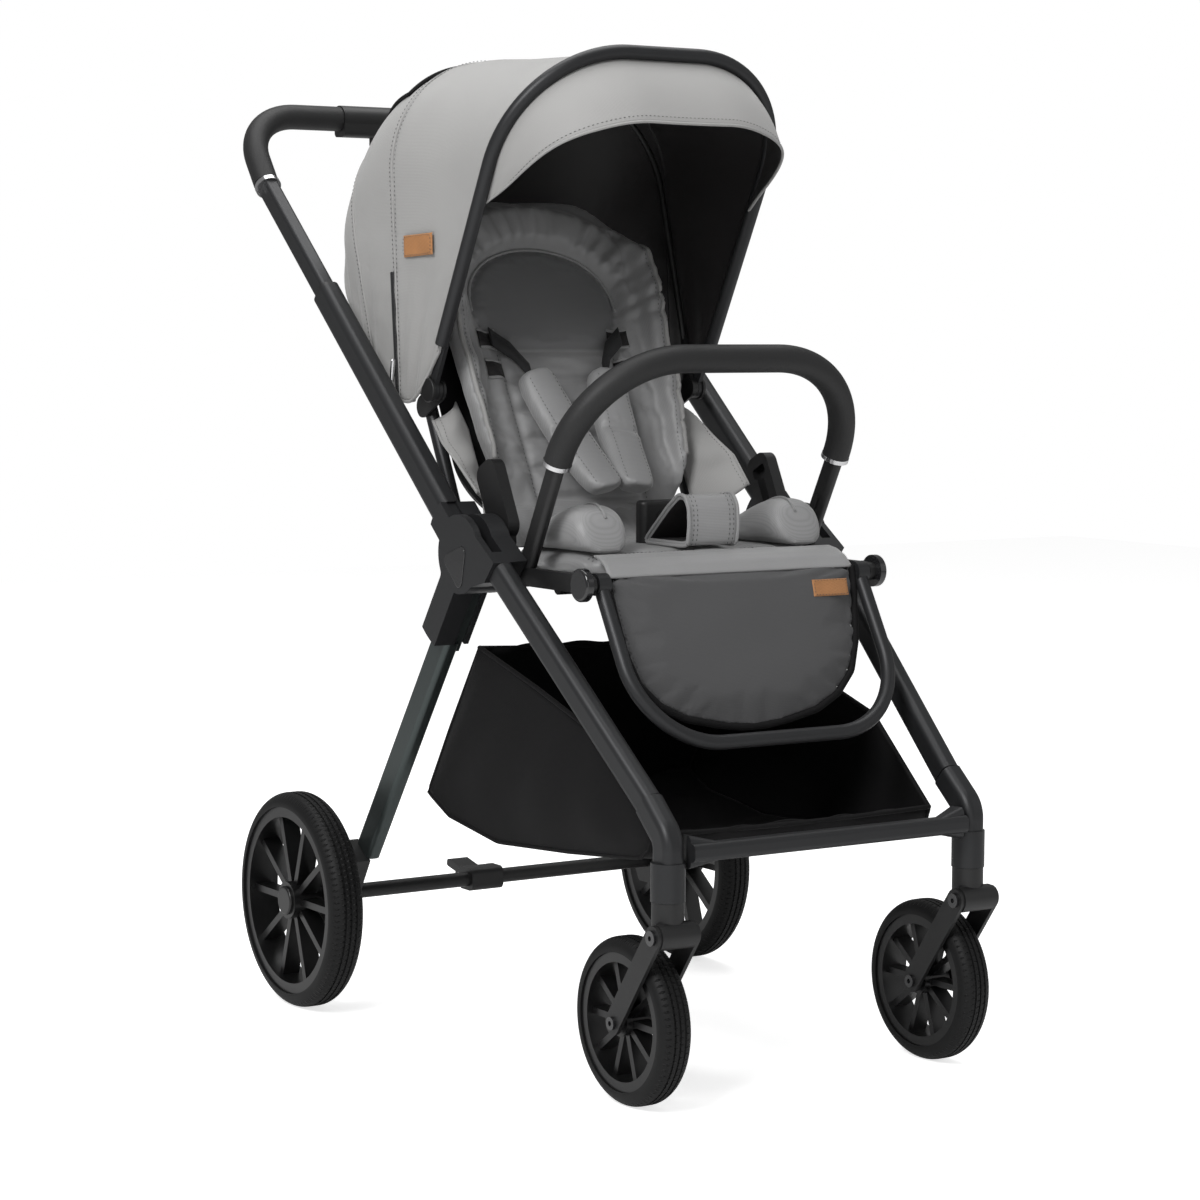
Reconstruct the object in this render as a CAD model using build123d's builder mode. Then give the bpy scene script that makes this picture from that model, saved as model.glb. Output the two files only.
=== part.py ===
from build123d import *
from math import atan2, cos, degrees, hypot, radians, sin
import os

# Baby stroller. Millimetres, +Z up, front towards -Y, X across. The ground is Z = 0 and the
# origin lies on it, midway between the foremost and the rearmost point.
os.makedirs("parts", exist_ok=True)
SIDES = {"left": 1, "right": -1}

# ---- driving dimensions ----------------------------------------------------------------------
RUN = 0.3            # gap between parts that move past each other
PIN_GAP = 0.05       # radial gap of a pin in the hole that turns on it
SEAM = 0.4           # gap at a visible joint line

REAR_R, REAR_W = 128.0, 43.0
REAR_X, REAR_Y = 275.0, 214.0
FRONT_R, FRONT_W = 89.0, 38.0
FRONT_X, FRONT_Y = 196.5, -389.0
SWIVEL_Y, SWIVEL_Z = -453.0, 225.0
KNUCKLE_Y, KNUCKLE_Z, KNUCKLE_R = -463.0, 191.0, 14.0
FORK_GAP, FORK_T, FORK_W = 2.5, 4.5, 25.0

PIVOT_Y, PIVOT_Z, PIVOT_R = -95.0, 558.0, 6.0
HUB_X, HUB_T, HUB_R = 215.0, 44.0, 44.0
TONGUE_T, TONGUE_W = 12.0, 28.0
ARM_TONGUE_X, LEG_TONGUE_X = 223.0, 205.0
ARM_START, REAR_LEG_START = 68.5, 119.0

ARM_X, ARM_ANGLE = 222.0, 40.5
ARM_LENGTH, ARM_H, ARM_W = 372.0, 34.0, 26.0
INNER_H, INNER_W = 25.0, 19.0
INNER_SHOWN, INNER_HIDDEN, TELESCOPE = 203.0, 150.0, 100.0
GRIP_R, GRIP_RISE, GRIP_ANGLE, GRIP_BEND = 15.5, 108.0, 53.0, 72.0
COVER_HALF, TRIGGER_HALF, RING_T = 87.0, 42.0, 6.0

LEG_W, LEG_H = 22.0, 30.0
LEG_TOP = (222.0, -162.0, 542.0)
LEG_FOOT = (196.0, -417.0, 320.0)
LEG_SEAM = 1.4
BEAM_Y, BEAM_Z, BEAM_H, BEAM_D = -466.0, 275.0, 19.0, 20.0
REAR_LEG_X, REAR_LEG_W, REAR_LEG_H = 212.0, 18.0, 34.0
REAR_LEG_END_Y, REAR_LEG_END_Z = 161.0, 190.0
AXLE_R = 9.0

RAIL_X, RAIL_H, RAIL_W = 186.0, 20.0, 9.0
LEGREST_Y, LEGREST_Z = -284.0, 536.0
LEGREST_ANGLE, LEGREST_LENGTH, LEGREST_HALF, LEGREST_BEND = 240.0, 190.0, 172.0, 96.0
HOOP_R = 8.0

BUMPER_Y, BUMPER_Z, BUMPER_TILT = -221.0, 664.0, 118.0
BUMPER_HALF, BUMPER_RISE, BUMPER_BEND, BUMPER_R = 186.0, 125.0, 124.0, 15.5
POST_W, POST_D, PLUG_W, PLUG_D, PLUG_LENGTH = 13.0, 24.0, 7.0, 14.0, 42.0

BACK_Y, BACK_Z, BACK_ANGLE = -29.0, 560.0, 63.6
BACK_LENGTH, BACK_HALF, BACK_T, BACK_FRAME_HALF, BACK_BEND = 445.0, 150.0, 36.0, 163.0, 95.0
CANOPY_Y, CANOPY_Z, CANOPY_TILT = 58.0, 735.0, 118.0
RIM_HALF, RIM_HEIGHT, RIM_BEND, RIM_R = 186.0, 426.0, 140.0, 8.0
MID_TILT, MID_HALF, MID_HEIGHT, MID_R = 74.0, 177.0, 388.0, 4.0
CLOTH, HOOP_START = 2.4, 60.0

SEAT_HALF, SEAT_T, SEAT_FRONT, SEAT_REAR, SEAT_Z = 156.0, 30.0, -236.0, -40.0, 566.0


# ---- helpers ---------------------------------------------------------------------------------
def side_plane(x, y, z, angle):
    """A plane across a limb that runs in the YZ plane at `angle` above +Y."""
    return Plane(origin=(x, y, z), x_dir=(1, 0, 0), z_dir=(0, cos(radians(angle)), sin(radians(angle))))


def hoop_plane(y, z, angle):
    """A plane whose local x is X and whose local y climbs at `angle` above +Y."""
    return Plane(origin=(0, y, z), x_dir=(1, 0, 0), z_dir=(0, -sin(radians(angle)), cos(radians(angle))))


def yz_plane(x):
    """A YZ plane at `x`: local x is +Y, local y is +Z, and it extrudes towards +X."""
    return Plane(origin=(x, 0, 0), x_dir=(0, 1, 0), z_dir=(1, 0, 0))


def leg_plane(point, other):
    """A plane across the front leg at `point`, facing `other`."""
    direction = Vector(*other) - Vector(*point)
    return Plane(origin=point, x_dir=(1, 0, 0), z_dir=tuple(direction))


def along(y, z, angle, distance):
    """The (y, z) point at `distance` from (y, z) in the direction `angle`."""
    return y + distance * cos(radians(angle)), z + distance * sin(radians(angle))


def save(piece, label):
    """Name a finished piece and write its STEP file."""
    piece.label = label
    export_step(piece, f"parts/{label}.step")


def save_pair(piece, label):
    """Write a left-hand piece and its mirror image as two named parts."""
    save(piece, f"{label}_left")
    save(mirror(piece, about=Plane.YZ), f"{label}_right")


def both_sides(pieces):
    """Each left-hand piece, and its mirror image."""
    return pieces + [mirror(piece, about=Plane.YZ) for piece in pieces]


def save_all(pieces, label):
    """Write left-hand pieces and their mirror images as the separate solids of one part."""
    save(Compound(children=both_sides(pieces)), label)


def save_both(piece, label):
    """Write a left-hand piece and its mirror image as two solids of one part."""
    save_all([piece], label)


def hoop_path(half, height, bend):
    """The line of a U-shaped hoop with two rounded corners, open at the bottom."""
    corners = [(-half, 0), (-half, height), (half, height), (half, 0)]
    return FilletPolyline(*corners, radius=bend)


# ---- wheels ----------------------------------------------------------------------------------
def make_tyre(x, y, radius, width, depth, groove):
    """A tyre with rounded shoulders and shallow grooves round its tread."""
    crown = width * 0.36
    with BuildPart() as tyre:
        with BuildSketch(Plane(origin=(x, y, radius), x_dir=(0, 1, 0), z_dir=(0, 0, 1))):
            with Locations((radius - depth / 2, 0)):
                Rectangle(depth, width)
        revolve(axis=Axis((x, y, radius), (1, 0, 0)))
        outer = tyre.edges().filter_by(GeomType.CIRCLE).group_by(SortBy.RADIUS)[-1]
        fillet(outer, min(crown, depth - 1))
        for offset in (-width / 6, 0, width / 6):
            with BuildSketch(Plane(origin=(x, y, radius), x_dir=(0, 1, 0), z_dir=(0, 0, 1))):
                with Locations((radius, -offset)):
                    Rectangle(groove, groove)
            revolve(axis=Axis((x, y, radius), (1, 0, 0)), mode=Mode.SUBTRACT)
    return tyre.part


def make_wheel(x, y, radius, rim, width, hub, bore, spokes, blade):
    """A moulded wheel: rim ring, tapered spokes and a hub bored for its axle."""
    with BuildPart() as wheel:
        with BuildSketch(yz_plane(x - width / 2)):
            with Locations((y, radius)):
                Circle(rim)
                Circle(rim - blade * 1.5, mode=Mode.SUBTRACT)
        extrude(amount=width)
        with BuildSketch(yz_plane(x - width / 2)):
            with Locations((y, radius)):
                Circle(hub)
        extrude(amount=width)
        with BuildSketch(yz_plane(x - width * 0.28)):
            with Locations((y, radius)):
                with PolarLocations((hub + rim - blade) / 2, spokes):
                    SlotOverall(rim - blade - hub + 2 * blade, blade)
        extrude(amount=width * 0.56)
        with BuildSketch(yz_plane(x - width / 2)):
            with Locations((y, radius)):
                Circle(bore)
        extrude(amount=width, mode=Mode.SUBTRACT)
    return wheel.part


REAR_TYRE_DEPTH, FRONT_TYRE_DEPTH = 17.0, 16.0
REAR_BORE, FRONT_BORE = 6.0, 4.0
BRACKET_T = 34.0

save_pair(make_tyre(REAR_X, REAR_Y, REAR_R, REAR_W, REAR_TYRE_DEPTH, 2.4), "rear_tyre")
save_pair(
    make_wheel(REAR_X, REAR_Y, REAR_R, REAR_R - REAR_TYRE_DEPTH, REAR_W - 5, 22, REAR_BORE, 10, 8),
    "rear_wheel",
)
save_pair(make_tyre(FRONT_X, FRONT_Y, FRONT_R, FRONT_W, FRONT_TYRE_DEPTH, 2.2), "front_tyre")
save_pair(
    make_wheel(FRONT_X, FRONT_Y, FRONT_R, FRONT_R - FRONT_TYRE_DEPTH, FRONT_W - 4, 15, FRONT_BORE, 10, 7),
    "front_wheel",
)

CAP_T = 4.0
with BuildPart() as rear_cap:
    with BuildSketch(yz_plane(REAR_X + (REAR_W - 5) / 2)):
        with Locations((REAR_Y, REAR_R)):
            Circle(17)
    extrude(amount=CAP_T)
    fillet(rear_cap.faces().sort_by(Axis.X)[-1].edges(), 2.5)
save_pair(rear_cap.part, "rear_hub_cap")

# Stub axles of the rear wheels, held by the brackets.
STUB_START = REAR_X - REAR_W / 2 - BRACKET_T
with BuildPart() as stub:
    with BuildSketch(yz_plane(STUB_START)):
        with Locations((REAR_Y, REAR_R)):
            Circle(REAR_BORE - PIN_GAP)
    extrude(amount=REAR_X + (REAR_W - 5) / 2 - 1 - STUB_START)

# ---- casters ---------------------------------------------------------------------------------
FORK_IN = FRONT_W / 2 + FORK_GAP
STEM_R, COLLAR_R = 9.0, 17.0
fork_angle = degrees(atan2(FRONT_R - KNUCKLE_Z, FRONT_Y - KNUCKLE_Y))
fork_length = hypot(FRONT_R - KNUCKLE_Z, FRONT_Y - KNUCKLE_Y)
with BuildPart() as knuckle:
    with BuildSketch(yz_plane(FRONT_X - FORK_IN)):
        with Locations((KNUCKLE_Y, KNUCKLE_Z)):
            Circle(KNUCKLE_R)
    extrude(amount=2 * FORK_IN)
    with BuildSketch(Plane.XY.offset(KNUCKLE_Z)):
        with Locations((FRONT_X, SWIVEL_Y)):
            Circle(COLLAR_R)
    extrude(amount=SWIVEL_Z - SEAM - KNUCKLE_Z)
    with BuildSketch(Plane.XY.offset(KNUCKLE_Z)):
        with Locations((FRONT_X, SWIVEL_Y)):
            Circle(STEM_R - PIN_GAP)
    extrude(amount=SWIVEL_Z + 34 - KNUCKLE_Z)
    with BuildSketch(yz_plane(FRONT_X - FORK_IN)):
        with Locations((KNUCKLE_Y, KNUCKLE_Z)):
            Circle(5)
    extrude(amount=2 * FORK_IN, mode=Mode.SUBTRACT)
save_pair(knuckle.part, "caster_knuckle")

with BuildPart() as fork:
    for start in (FRONT_X - FORK_IN - FORK_T, FRONT_X + FORK_IN):
        with BuildSketch(yz_plane(start)):
            middle = along(KNUCKLE_Y, KNUCKLE_Z, fork_angle, fork_length / 2)
            with Locations(Location((middle[0], middle[1], 0), (0, 0, fork_angle))):
                SlotCenterToCenter(fork_length, FORK_W)
            for point in ((KNUCKLE_Y, KNUCKLE_Z, 5), (FRONT_Y, FRONT_R, FRONT_BORE - PIN_GAP)):
                with Locations(point[:2]):
                    Circle(point[2], mode=Mode.SUBTRACT)
        extrude(amount=FORK_T)
save_pair(fork.part, "caster_fork")

with BuildPart() as bolts:
    for y, z, r, head in ((KNUCKLE_Y, KNUCKLE_Z, 5, 8), (FRONT_Y, FRONT_R, FRONT_BORE - PIN_GAP, 7)):
        with BuildSketch(yz_plane(FRONT_X - FORK_IN - FORK_T)):
            with Locations((y, z)):
                Circle(r)
        extrude(amount=2 * (FORK_IN + FORK_T))
        for start in (FRONT_X - FORK_IN - FORK_T - 3, FRONT_X + FORK_IN + FORK_T):
            with BuildSketch(yz_plane(start)):
                with Locations((y, z)):
                    Circle(head)
                    RegularPolygon(3, 6, mode=Mode.SUBTRACT)
            extrude(amount=3)
save_pair(bolts.part, "caster_bolts")

# ---- hubs: one slotted casting a side, on which the handle and the rear legs fold ------------------
def sector(y, z, start, end, radius, width):
    """The outline a tongue of `width` sweeps about a pivot, from angle `start` to `end`."""
    with BuildSketch(mode=Mode.PRIVATE) as swept:
        Circle(width / 2 + 2)
        steps = max(2, int(abs(end - start) / 6))
        for step in range(steps + 1):
            angle = start + (end - start) * step / steps
            with Locations(Location((0, 0, 0), (0, 0, angle))):
                Rectangle(radius, width, align=(Align.MIN, Align.CENTER))
    return swept.sketch.moved(Location((y, z, 0)))


leg_run = (LEG_TOP[1] - LEG_FOOT[1], LEG_TOP[2] - LEG_FOOT[2])
LEG_ANGLE = degrees(atan2(leg_run[1], leg_run[0]))
REAR_ANGLE = degrees(atan2(REAR_LEG_END_Z - PIVOT_Z, REAR_LEG_END_Y - PIVOT_Y))
FOLD, REAR_FOLD = 120.0, 30.0
HUB_IN, HUB_OUT = HUB_X - HUB_T / 2, HUB_X + HUB_T / 2
CAP_DEPTH = 2.5

with BuildPart() as hub:
    with BuildSketch(yz_plane(HUB_IN)):
        with Locations((PIVOT_Y, PIVOT_Z)):
            Circle(HUB_R)
        for angle, length, width in (
            (ARM_ANGLE, ARM_START + 10, ARM_H),
            (REAR_ANGLE, REAR_LEG_START + 10, REAR_LEG_H),
        ):
            with Locations(Location((PIVOT_Y, PIVOT_Z, 0), (0, 0, angle))):
                Rectangle(length, width, align=(Align.MIN, Align.CENTER))
        with BuildLine():
            Polyline(
                (PIVOT_Y - 20, PIVOT_Z + 34),
                along(LEG_TOP[1], LEG_TOP[2], LEG_ANGLE + 90, LEG_H / 2),
                along(LEG_TOP[1], LEG_TOP[2], LEG_ANGLE - 90, LEG_H / 2),
                (PIVOT_Y + 4, PIVOT_Z - 42),
                close=True,
            )
        make_face()
        fillet(vertices().sort_by_distance((PIVOT_Y + 40, PIVOT_Z - 8)).first, 8)
    extrude(amount=HUB_T)
    # The joint lines towards the arm and the rear leg are arcs about the pivot.
    for radius, angle in ((ARM_START, ARM_ANGLE), (REAR_LEG_START, REAR_ANGLE)):
        with BuildSketch(yz_plane(HUB_IN)):
            with Locations(Location((PIVOT_Y, PIVOT_Z, 0), (0, 0, angle))):
                with Locations((radius + 30, 0)):
                    Rectangle(72, 60)
                Circle(radius - SEAM, mode=Mode.SUBTRACT)
        extrude(amount=HUB_T, mode=Mode.SUBTRACT)
    # A flat joint line towards the front leg.
    with BuildSketch(leg_plane(LEG_TOP, LEG_FOOT)):
        Rectangle(3 * LEG_W, 2 * LEG_H)
    extrude(amount=2 * LEG_H, mode=Mode.SUBTRACT)
    # Slots for the two tongues, over the whole of their swing.
    for x, start, end, reach in (
        (ARM_TONGUE_X, ARM_ANGLE, ARM_ANGLE + FOLD, 110),
        (LEG_TONGUE_X, REAR_ANGLE, REAR_ANGLE - REAR_FOLD, 150),
    ):
        with BuildSketch(yz_plane(x - TONGUE_T / 2 - RUN)):
            add(sector(PIVOT_Y, PIVOT_Z, start, end, reach, TONGUE_W + 2 * RUN))
        extrude(amount=TONGUE_T + 2 * RUN, mode=Mode.SUBTRACT)
    with BuildSketch(yz_plane(HUB_IN)):
        with Locations((PIVOT_Y, PIVOT_Z)):
            Circle(PIVOT_R)
    extrude(amount=HUB_T, mode=Mode.SUBTRACT)
    # Recess for the triangular cap.
    with BuildSketch(yz_plane(HUB_OUT - CAP_DEPTH)):
        with Locations((PIVOT_Y + 4, PIVOT_Z - 12)):
            RegularPolygon(34, 3, rotation=12)
            fillet(vertices(), 8)
    extrude(amount=CAP_DEPTH, mode=Mode.SUBTRACT)
save_both(hub.part, "hub_castings")

with BuildPart() as hub_cap:
    with BuildSketch(yz_plane(HUB_OUT - CAP_DEPTH)):
        with Locations((PIVOT_Y + 4, PIVOT_Z - 12)):
            RegularPolygon(34, 3, rotation=12)
            fillet(vertices(), 8)
            offset(amount=-SEAM)
    extrude(amount=CAP_DEPTH + 1)
    fillet(hub_cap.faces().sort_by(Axis.X)[-1].edges(), 0.8)
save_both(hub_cap.part, "hub_caps")

with BuildPart() as hub_pin:
    with BuildSketch(yz_plane(HUB_IN + 1)):
        with Locations((PIVOT_Y, PIVOT_Z)):
            Circle(PIVOT_R)
    extrude(amount=HUB_T - CAP_DEPTH - 2)

# ---- handle: lower arms on tongues, telescoping upper tubes, grip, cover and trigger --------------
arm_y, arm_z = along(PIVOT_Y, PIVOT_Z, ARM_ANGLE, ARM_START)
with BuildPart() as arm:
    with BuildSketch(side_plane(ARM_X, *along(PIVOT_Y, PIVOT_Z, ARM_ANGLE, ARM_START - 12), ARM_ANGLE)):
        RectangleRounded(ARM_W, ARM_H, 9)
    extrude(amount=ARM_LENGTH + 12)
    with BuildSketch(yz_plane(ARM_X - ARM_W)):
        with Locations((PIVOT_Y, PIVOT_Z)):
            Circle(ARM_START)
    extrude(amount=2 * ARM_W, mode=Mode.SUBTRACT)
    bore_start = ARM_LENGTH - INNER_HIDDEN - TELESCOPE - 8
    with BuildSketch(side_plane(ARM_X, *along(arm_y, arm_z, ARM_ANGLE, bore_start), ARM_ANGLE)):
        RectangleRounded(INNER_W + 2 * RUN, INNER_H + 2 * RUN, 5)
    extrude(amount=ARM_LENGTH, mode=Mode.SUBTRACT)
    with BuildSketch(yz_plane(ARM_TONGUE_X - TONGUE_T / 2)):
        with Locations((PIVOT_Y, PIVOT_Z)):
            Circle(TONGUE_W / 2)
        with Locations(Location((PIVOT_Y, PIVOT_Z, 0), (0, 0, ARM_ANGLE))):
            Rectangle(ARM_START + 14, TONGUE_W, align=(Align.MIN, Align.CENTER))
        with Locations((PIVOT_Y, PIVOT_Z)):
            Circle(PIVOT_R + PIN_GAP, mode=Mode.SUBTRACT)
    extrude(amount=TONGUE_T)
save_both(arm.part, "handle_arms")

joint_y, joint_z = along(arm_y, arm_z, ARM_ANGLE, ARM_LENGTH)
with BuildPart() as collar:
    with BuildSketch(side_plane(ARM_X, *along(joint_y, joint_z, ARM_ANGLE, 0), ARM_ANGLE)):
        RectangleRounded(ARM_W, ARM_H, 9)
        RectangleRounded(INNER_W + 2 * RUN, INNER_H + 2 * RUN, 5, mode=Mode.SUBTRACT)
    extrude(amount=5)
save_both(collar.part, "telescope_collars")

ring_y, ring_z = along(joint_y, joint_z, ARM_ANGLE, INNER_SHOWN)
with BuildPart() as upper:
    with BuildSketch(side_plane(ARM_X, *along(joint_y, joint_z, ARM_ANGLE, -INNER_HIDDEN), ARM_ANGLE)):
        RectangleRounded(INNER_W, INNER_H, 5)
    extrude(amount=INNER_HIDDEN + INNER_SHOWN)
save_both(upper.part, "upper_tubes")

with BuildPart() as ring:
    with BuildSketch(side_plane(ARM_X, ring_y, ring_z, ARM_ANGLE)):
        Circle(GRIP_R + 0.6)
    extrude(amount=RING_T)
save_both(ring.part, "grip_rings")

GRIP_START = RING_T + GRIP_R * sin(radians(GRIP_ANGLE - ARM_ANGLE)) + 0.6
grip_y, grip_z = along(ring_y, ring_z, ARM_ANGLE, GRIP_START)
GRIP_MIDDLE = along(grip_y, grip_z, GRIP_ANGLE, GRIP_RISE)
with BuildPart() as grip:
    with BuildLine(hoop_plane(grip_y, grip_z, GRIP_ANGLE)):
        hoop_path(ARM_X, GRIP_RISE, GRIP_BEND)
    with BuildSketch(side_plane(-ARM_X, grip_y, grip_z, GRIP_ANGLE)):
        Circle(GRIP_R)
    sweep()
    with BuildSketch(yz_plane(-COVER_HALF)):
        with Locations(GRIP_MIDDLE):
            Circle(GRIP_R + 5)
            Circle(GRIP_R - 3, mode=Mode.SUBTRACT)
    extrude(amount=2 * COVER_HALF, mode=Mode.SUBTRACT)
save(grip.part, "handle_grip")

TRIGGER_TRAVEL, TRIGGER_H, TRIGGER_D = 6.0, 12.0, 16.0
with BuildPart() as cover:
    with BuildSketch(yz_plane(-COVER_HALF + SEAM)):
        with Locations(GRIP_MIDDLE):
            Circle(GRIP_R + 1.5)
            with Locations((-2, -8)):
                RectangleRounded(2 * GRIP_R - 3, 2 * GRIP_R - 2, 6)
            Circle(GRIP_R - 3, mode=Mode.SUBTRACT)
    extrude(amount=2 * (COVER_HALF - SEAM))
    with BuildSketch(Plane.XY.offset(GRIP_MIDDLE[1] - 2 * GRIP_R)):
        with Locations((0, GRIP_MIDDLE[0] - 2)):
            Rectangle(2 * (TRIGGER_HALF + RUN), TRIGGER_D + 2 * RUN)
    extrude(amount=GRIP_R + 3, mode=Mode.SUBTRACT)
save(cover.part, "handle_cover")

trigger_top = GRIP_MIDDLE[1] - GRIP_R - TRIGGER_TRAVEL
with BuildPart() as trigger:
    with BuildSketch(Plane.XY.offset(trigger_top)):
        with Locations((0, GRIP_MIDDLE[0] - 2)):
            RectangleRounded(2 * TRIGGER_HALF, TRIGGER_D, 5)
    extrude(amount=-TRIGGER_H)
    fillet(trigger.faces().sort_by(Axis.Z)[0].edges(), 3)
save(trigger.part, "fold_trigger")

# ---- front legs, castings and cross beam ----------------------------------------------------------
with BuildPart() as leg:
    with BuildSketch(leg_plane(LEG_TOP, LEG_FOOT)):
        RectangleRounded(LEG_W, LEG_H, 8)
    extrude(amount=(Vector(*LEG_FOOT) - Vector(*LEG_TOP)).length - LEG_SEAM)
save_both(leg.part, "front_legs")

CAST_BEND = 24.0
leg_dir = (Vector(*LEG_FOOT) - Vector(*LEG_TOP)).normalized()
elbow_shift = (LEG_FOOT[1] - SWIVEL_Y) / -leg_dir.Y
elbow = Vector(*LEG_FOOT) + leg_dir * elbow_shift
with BuildPart() as casting:
    with BuildLine():
        FilletPolyline(
            LEG_FOOT,
            (FRONT_X, SWIVEL_Y, elbow.Z),
            (FRONT_X, SWIVEL_Y, SWIVEL_Z + 14),
            radius=CAST_BEND,
        )
    with BuildSketch(leg_plane(LEG_FOOT, (FRONT_X, SWIVEL_Y, elbow.Z))):
        RectangleRounded(LEG_W + 3, LEG_H + 2, 9)
    sweep(transition=Transition.ROUND)
    with BuildSketch(Plane.XY.offset(SWIVEL_Z)):
        with Locations((FRONT_X, SWIVEL_Y)):
            Circle(COLLAR_R + 1)
    extrude(amount=40)
    with BuildSketch(Plane.XY.offset(SWIVEL_Z)):
        with Locations((FRONT_X, SWIVEL_Y)):
            Circle(STEM_R)
    extrude(amount=36, mode=Mode.SUBTRACT)
save_both(casting.part, "front_castings")

with BuildPart() as beam:
    beam_half = FRONT_X - COLLAR_R - 1
    with BuildSketch(yz_plane(-beam_half)):
        with Locations((BEAM_Y, BEAM_Z)):
            RectangleRounded(BEAM_D, BEAM_H, 6)
    extrude(amount=2 * beam_half)
    for side in SIDES.values():
        with BuildSketch(yz_plane(side * beam_half)):
            with Locations((SWIVEL_Y - 2, BEAM_Z)):
                RectangleRounded(2 * COLLAR_R - 8, BEAM_H + 16, 7)
        with BuildSketch(yz_plane(side * (beam_half - 34))):
            with Locations((BEAM_Y, BEAM_Z)):
                RectangleRounded(BEAM_D, BEAM_H, 7)
        loft()
    for side in SIDES.values():
        with BuildSketch(Plane.XY.offset(SWIVEL_Z - 5)):
            with Locations((side * FRONT_X, SWIVEL_Y)):
                Circle(COLLAR_R + 2.2)
        extrude(amount=150, mode=Mode.SUBTRACT)
save(beam.part, "front_beam")

# ---- rear frame: legs on tongues, axle, wheel brackets, brake --------------------------------------
rear_length = hypot(REAR_LEG_END_Y - PIVOT_Y, REAR_LEG_END_Z - PIVOT_Z)
with BuildPart() as rear_leg:
    start = along(PIVOT_Y, PIVOT_Z, REAR_ANGLE, REAR_LEG_START - 8)
    with BuildSketch(side_plane(REAR_LEG_X, *start, REAR_ANGLE)):
        RectangleRounded(REAR_LEG_W, REAR_LEG_H, 6)
    extrude(amount=rear_length - REAR_LEG_START + 8)
    with BuildSketch(yz_plane(REAR_LEG_X - REAR_LEG_W)):
        with Locations((PIVOT_Y, PIVOT_Z)):
            Circle(REAR_LEG_START)
    extrude(amount=2 * REAR_LEG_W, mode=Mode.SUBTRACT)
    with BuildSketch(yz_plane(LEG_TONGUE_X - TONGUE_T / 2)):
        with Locations((PIVOT_Y, PIVOT_Z)):
            Circle(TONGUE_W / 2)
        with Locations(Location((PIVOT_Y, PIVOT_Z, 0), (0, 0, REAR_ANGLE))):
            Rectangle(REAR_LEG_START + 12, TONGUE_W - 2, align=(Align.MIN, Align.CENTER))
        with Locations((PIVOT_Y, PIVOT_Z)):
            Circle(PIVOT_R + PIN_GAP, mode=Mode.SUBTRACT)
    extrude(amount=TONGUE_T)
save_both(rear_leg.part, "rear_legs")

BRACKET_OUT = REAR_X - REAR_W / 2 - 2
with BuildPart() as bracket:
    with BuildSketch(yz_plane(BRACKET_OUT - BRACKET_T)):
        with BuildLine():
            foot_y, foot_z = along(REAR_LEG_END_Y, REAR_LEG_END_Z, REAR_ANGLE, SEAM)
            Polyline(
                along(foot_y, foot_z, REAR_ANGLE + 90, REAR_LEG_H / 2 + 2),
                along(foot_y, foot_z, REAR_ANGLE - 90, REAR_LEG_H / 2 + 2),
                (REAR_Y - 30, REAR_R - 12),
                (REAR_Y - 16, REAR_R - 27),
                (REAR_Y + 16, REAR_R - 27),
                (REAR_Y + 28, REAR_R - 6),
                (REAR_Y + 26, REAR_R + 18),
                close=True,
            )
        make_face()
        fillet(vertices().group_by(Axis.Y)[0], 6)
    extrude(amount=BRACKET_T)
    with BuildSketch(yz_plane(BRACKET_OUT - BRACKET_T)):
        with Locations((REAR_Y, REAR_R)):
            Circle(REAR_BORE - PIN_GAP)
    extrude(amount=BRACKET_T, mode=Mode.SUBTRACT)
    with BuildSketch(Plane.XY.offset(REAR_R - 27)):
        with Locations((BRACKET_OUT - BRACKET_T / 2, REAR_Y)):
            RectangleRounded(16, 20, 3)
    extrude(amount=-9)
save_both(bracket.part, "wheel_brackets")

AXLE_HALF = BRACKET_OUT - BRACKET_T
with BuildPart() as axle:
    with BuildSketch(yz_plane(-AXLE_HALF)):
        with Locations((REAR_Y, REAR_R + 2)):
            Circle(AXLE_R)
    extrude(amount=2 * AXLE_HALF)
save(axle.part, "rear_axle")

BRAKE_X, BRAKE_HALF = -24.0, 22.0
PEDAL_Y, PEDAL_Z = REAR_Y + 22, REAR_R + 4
with BuildPart() as clamp:
    with BuildSketch(yz_plane(BRAKE_X - BRAKE_HALF)):
        with Locations((REAR_Y + 4, REAR_R + 2)):
            RectangleRounded(34, 28, 8)
        with Locations((PEDAL_Y, PEDAL_Z)):
            Circle(8)
        with Locations((REAR_Y, REAR_R + 2)):
            Circle(AXLE_R, mode=Mode.SUBTRACT)
        with Locations((PEDAL_Y, PEDAL_Z)):
            Circle(3, mode=Mode.SUBTRACT)
    extrude(amount=2 * BRAKE_HALF)
    with BuildSketch(yz_plane(BRAKE_X - BRAKE_HALF + 8)):
        with Locations((PEDAL_Y + 7, PEDAL_Z)):
            Rectangle(32, 44)
    extrude(amount=2 * BRAKE_HALF - 16, mode=Mode.SUBTRACT)
save(clamp.part, "brake_housing")

with BuildPart() as brake_pin:
    with BuildSketch(yz_plane(BRAKE_X - BRAKE_HALF)):
        with Locations((PEDAL_Y, PEDAL_Z)):
            Circle(3)
    extrude(amount=2 * BRAKE_HALF)
save(Compound(children=[*both_sides([stub.part]), brake_pin.part]), "rear_axle_pins")

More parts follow.
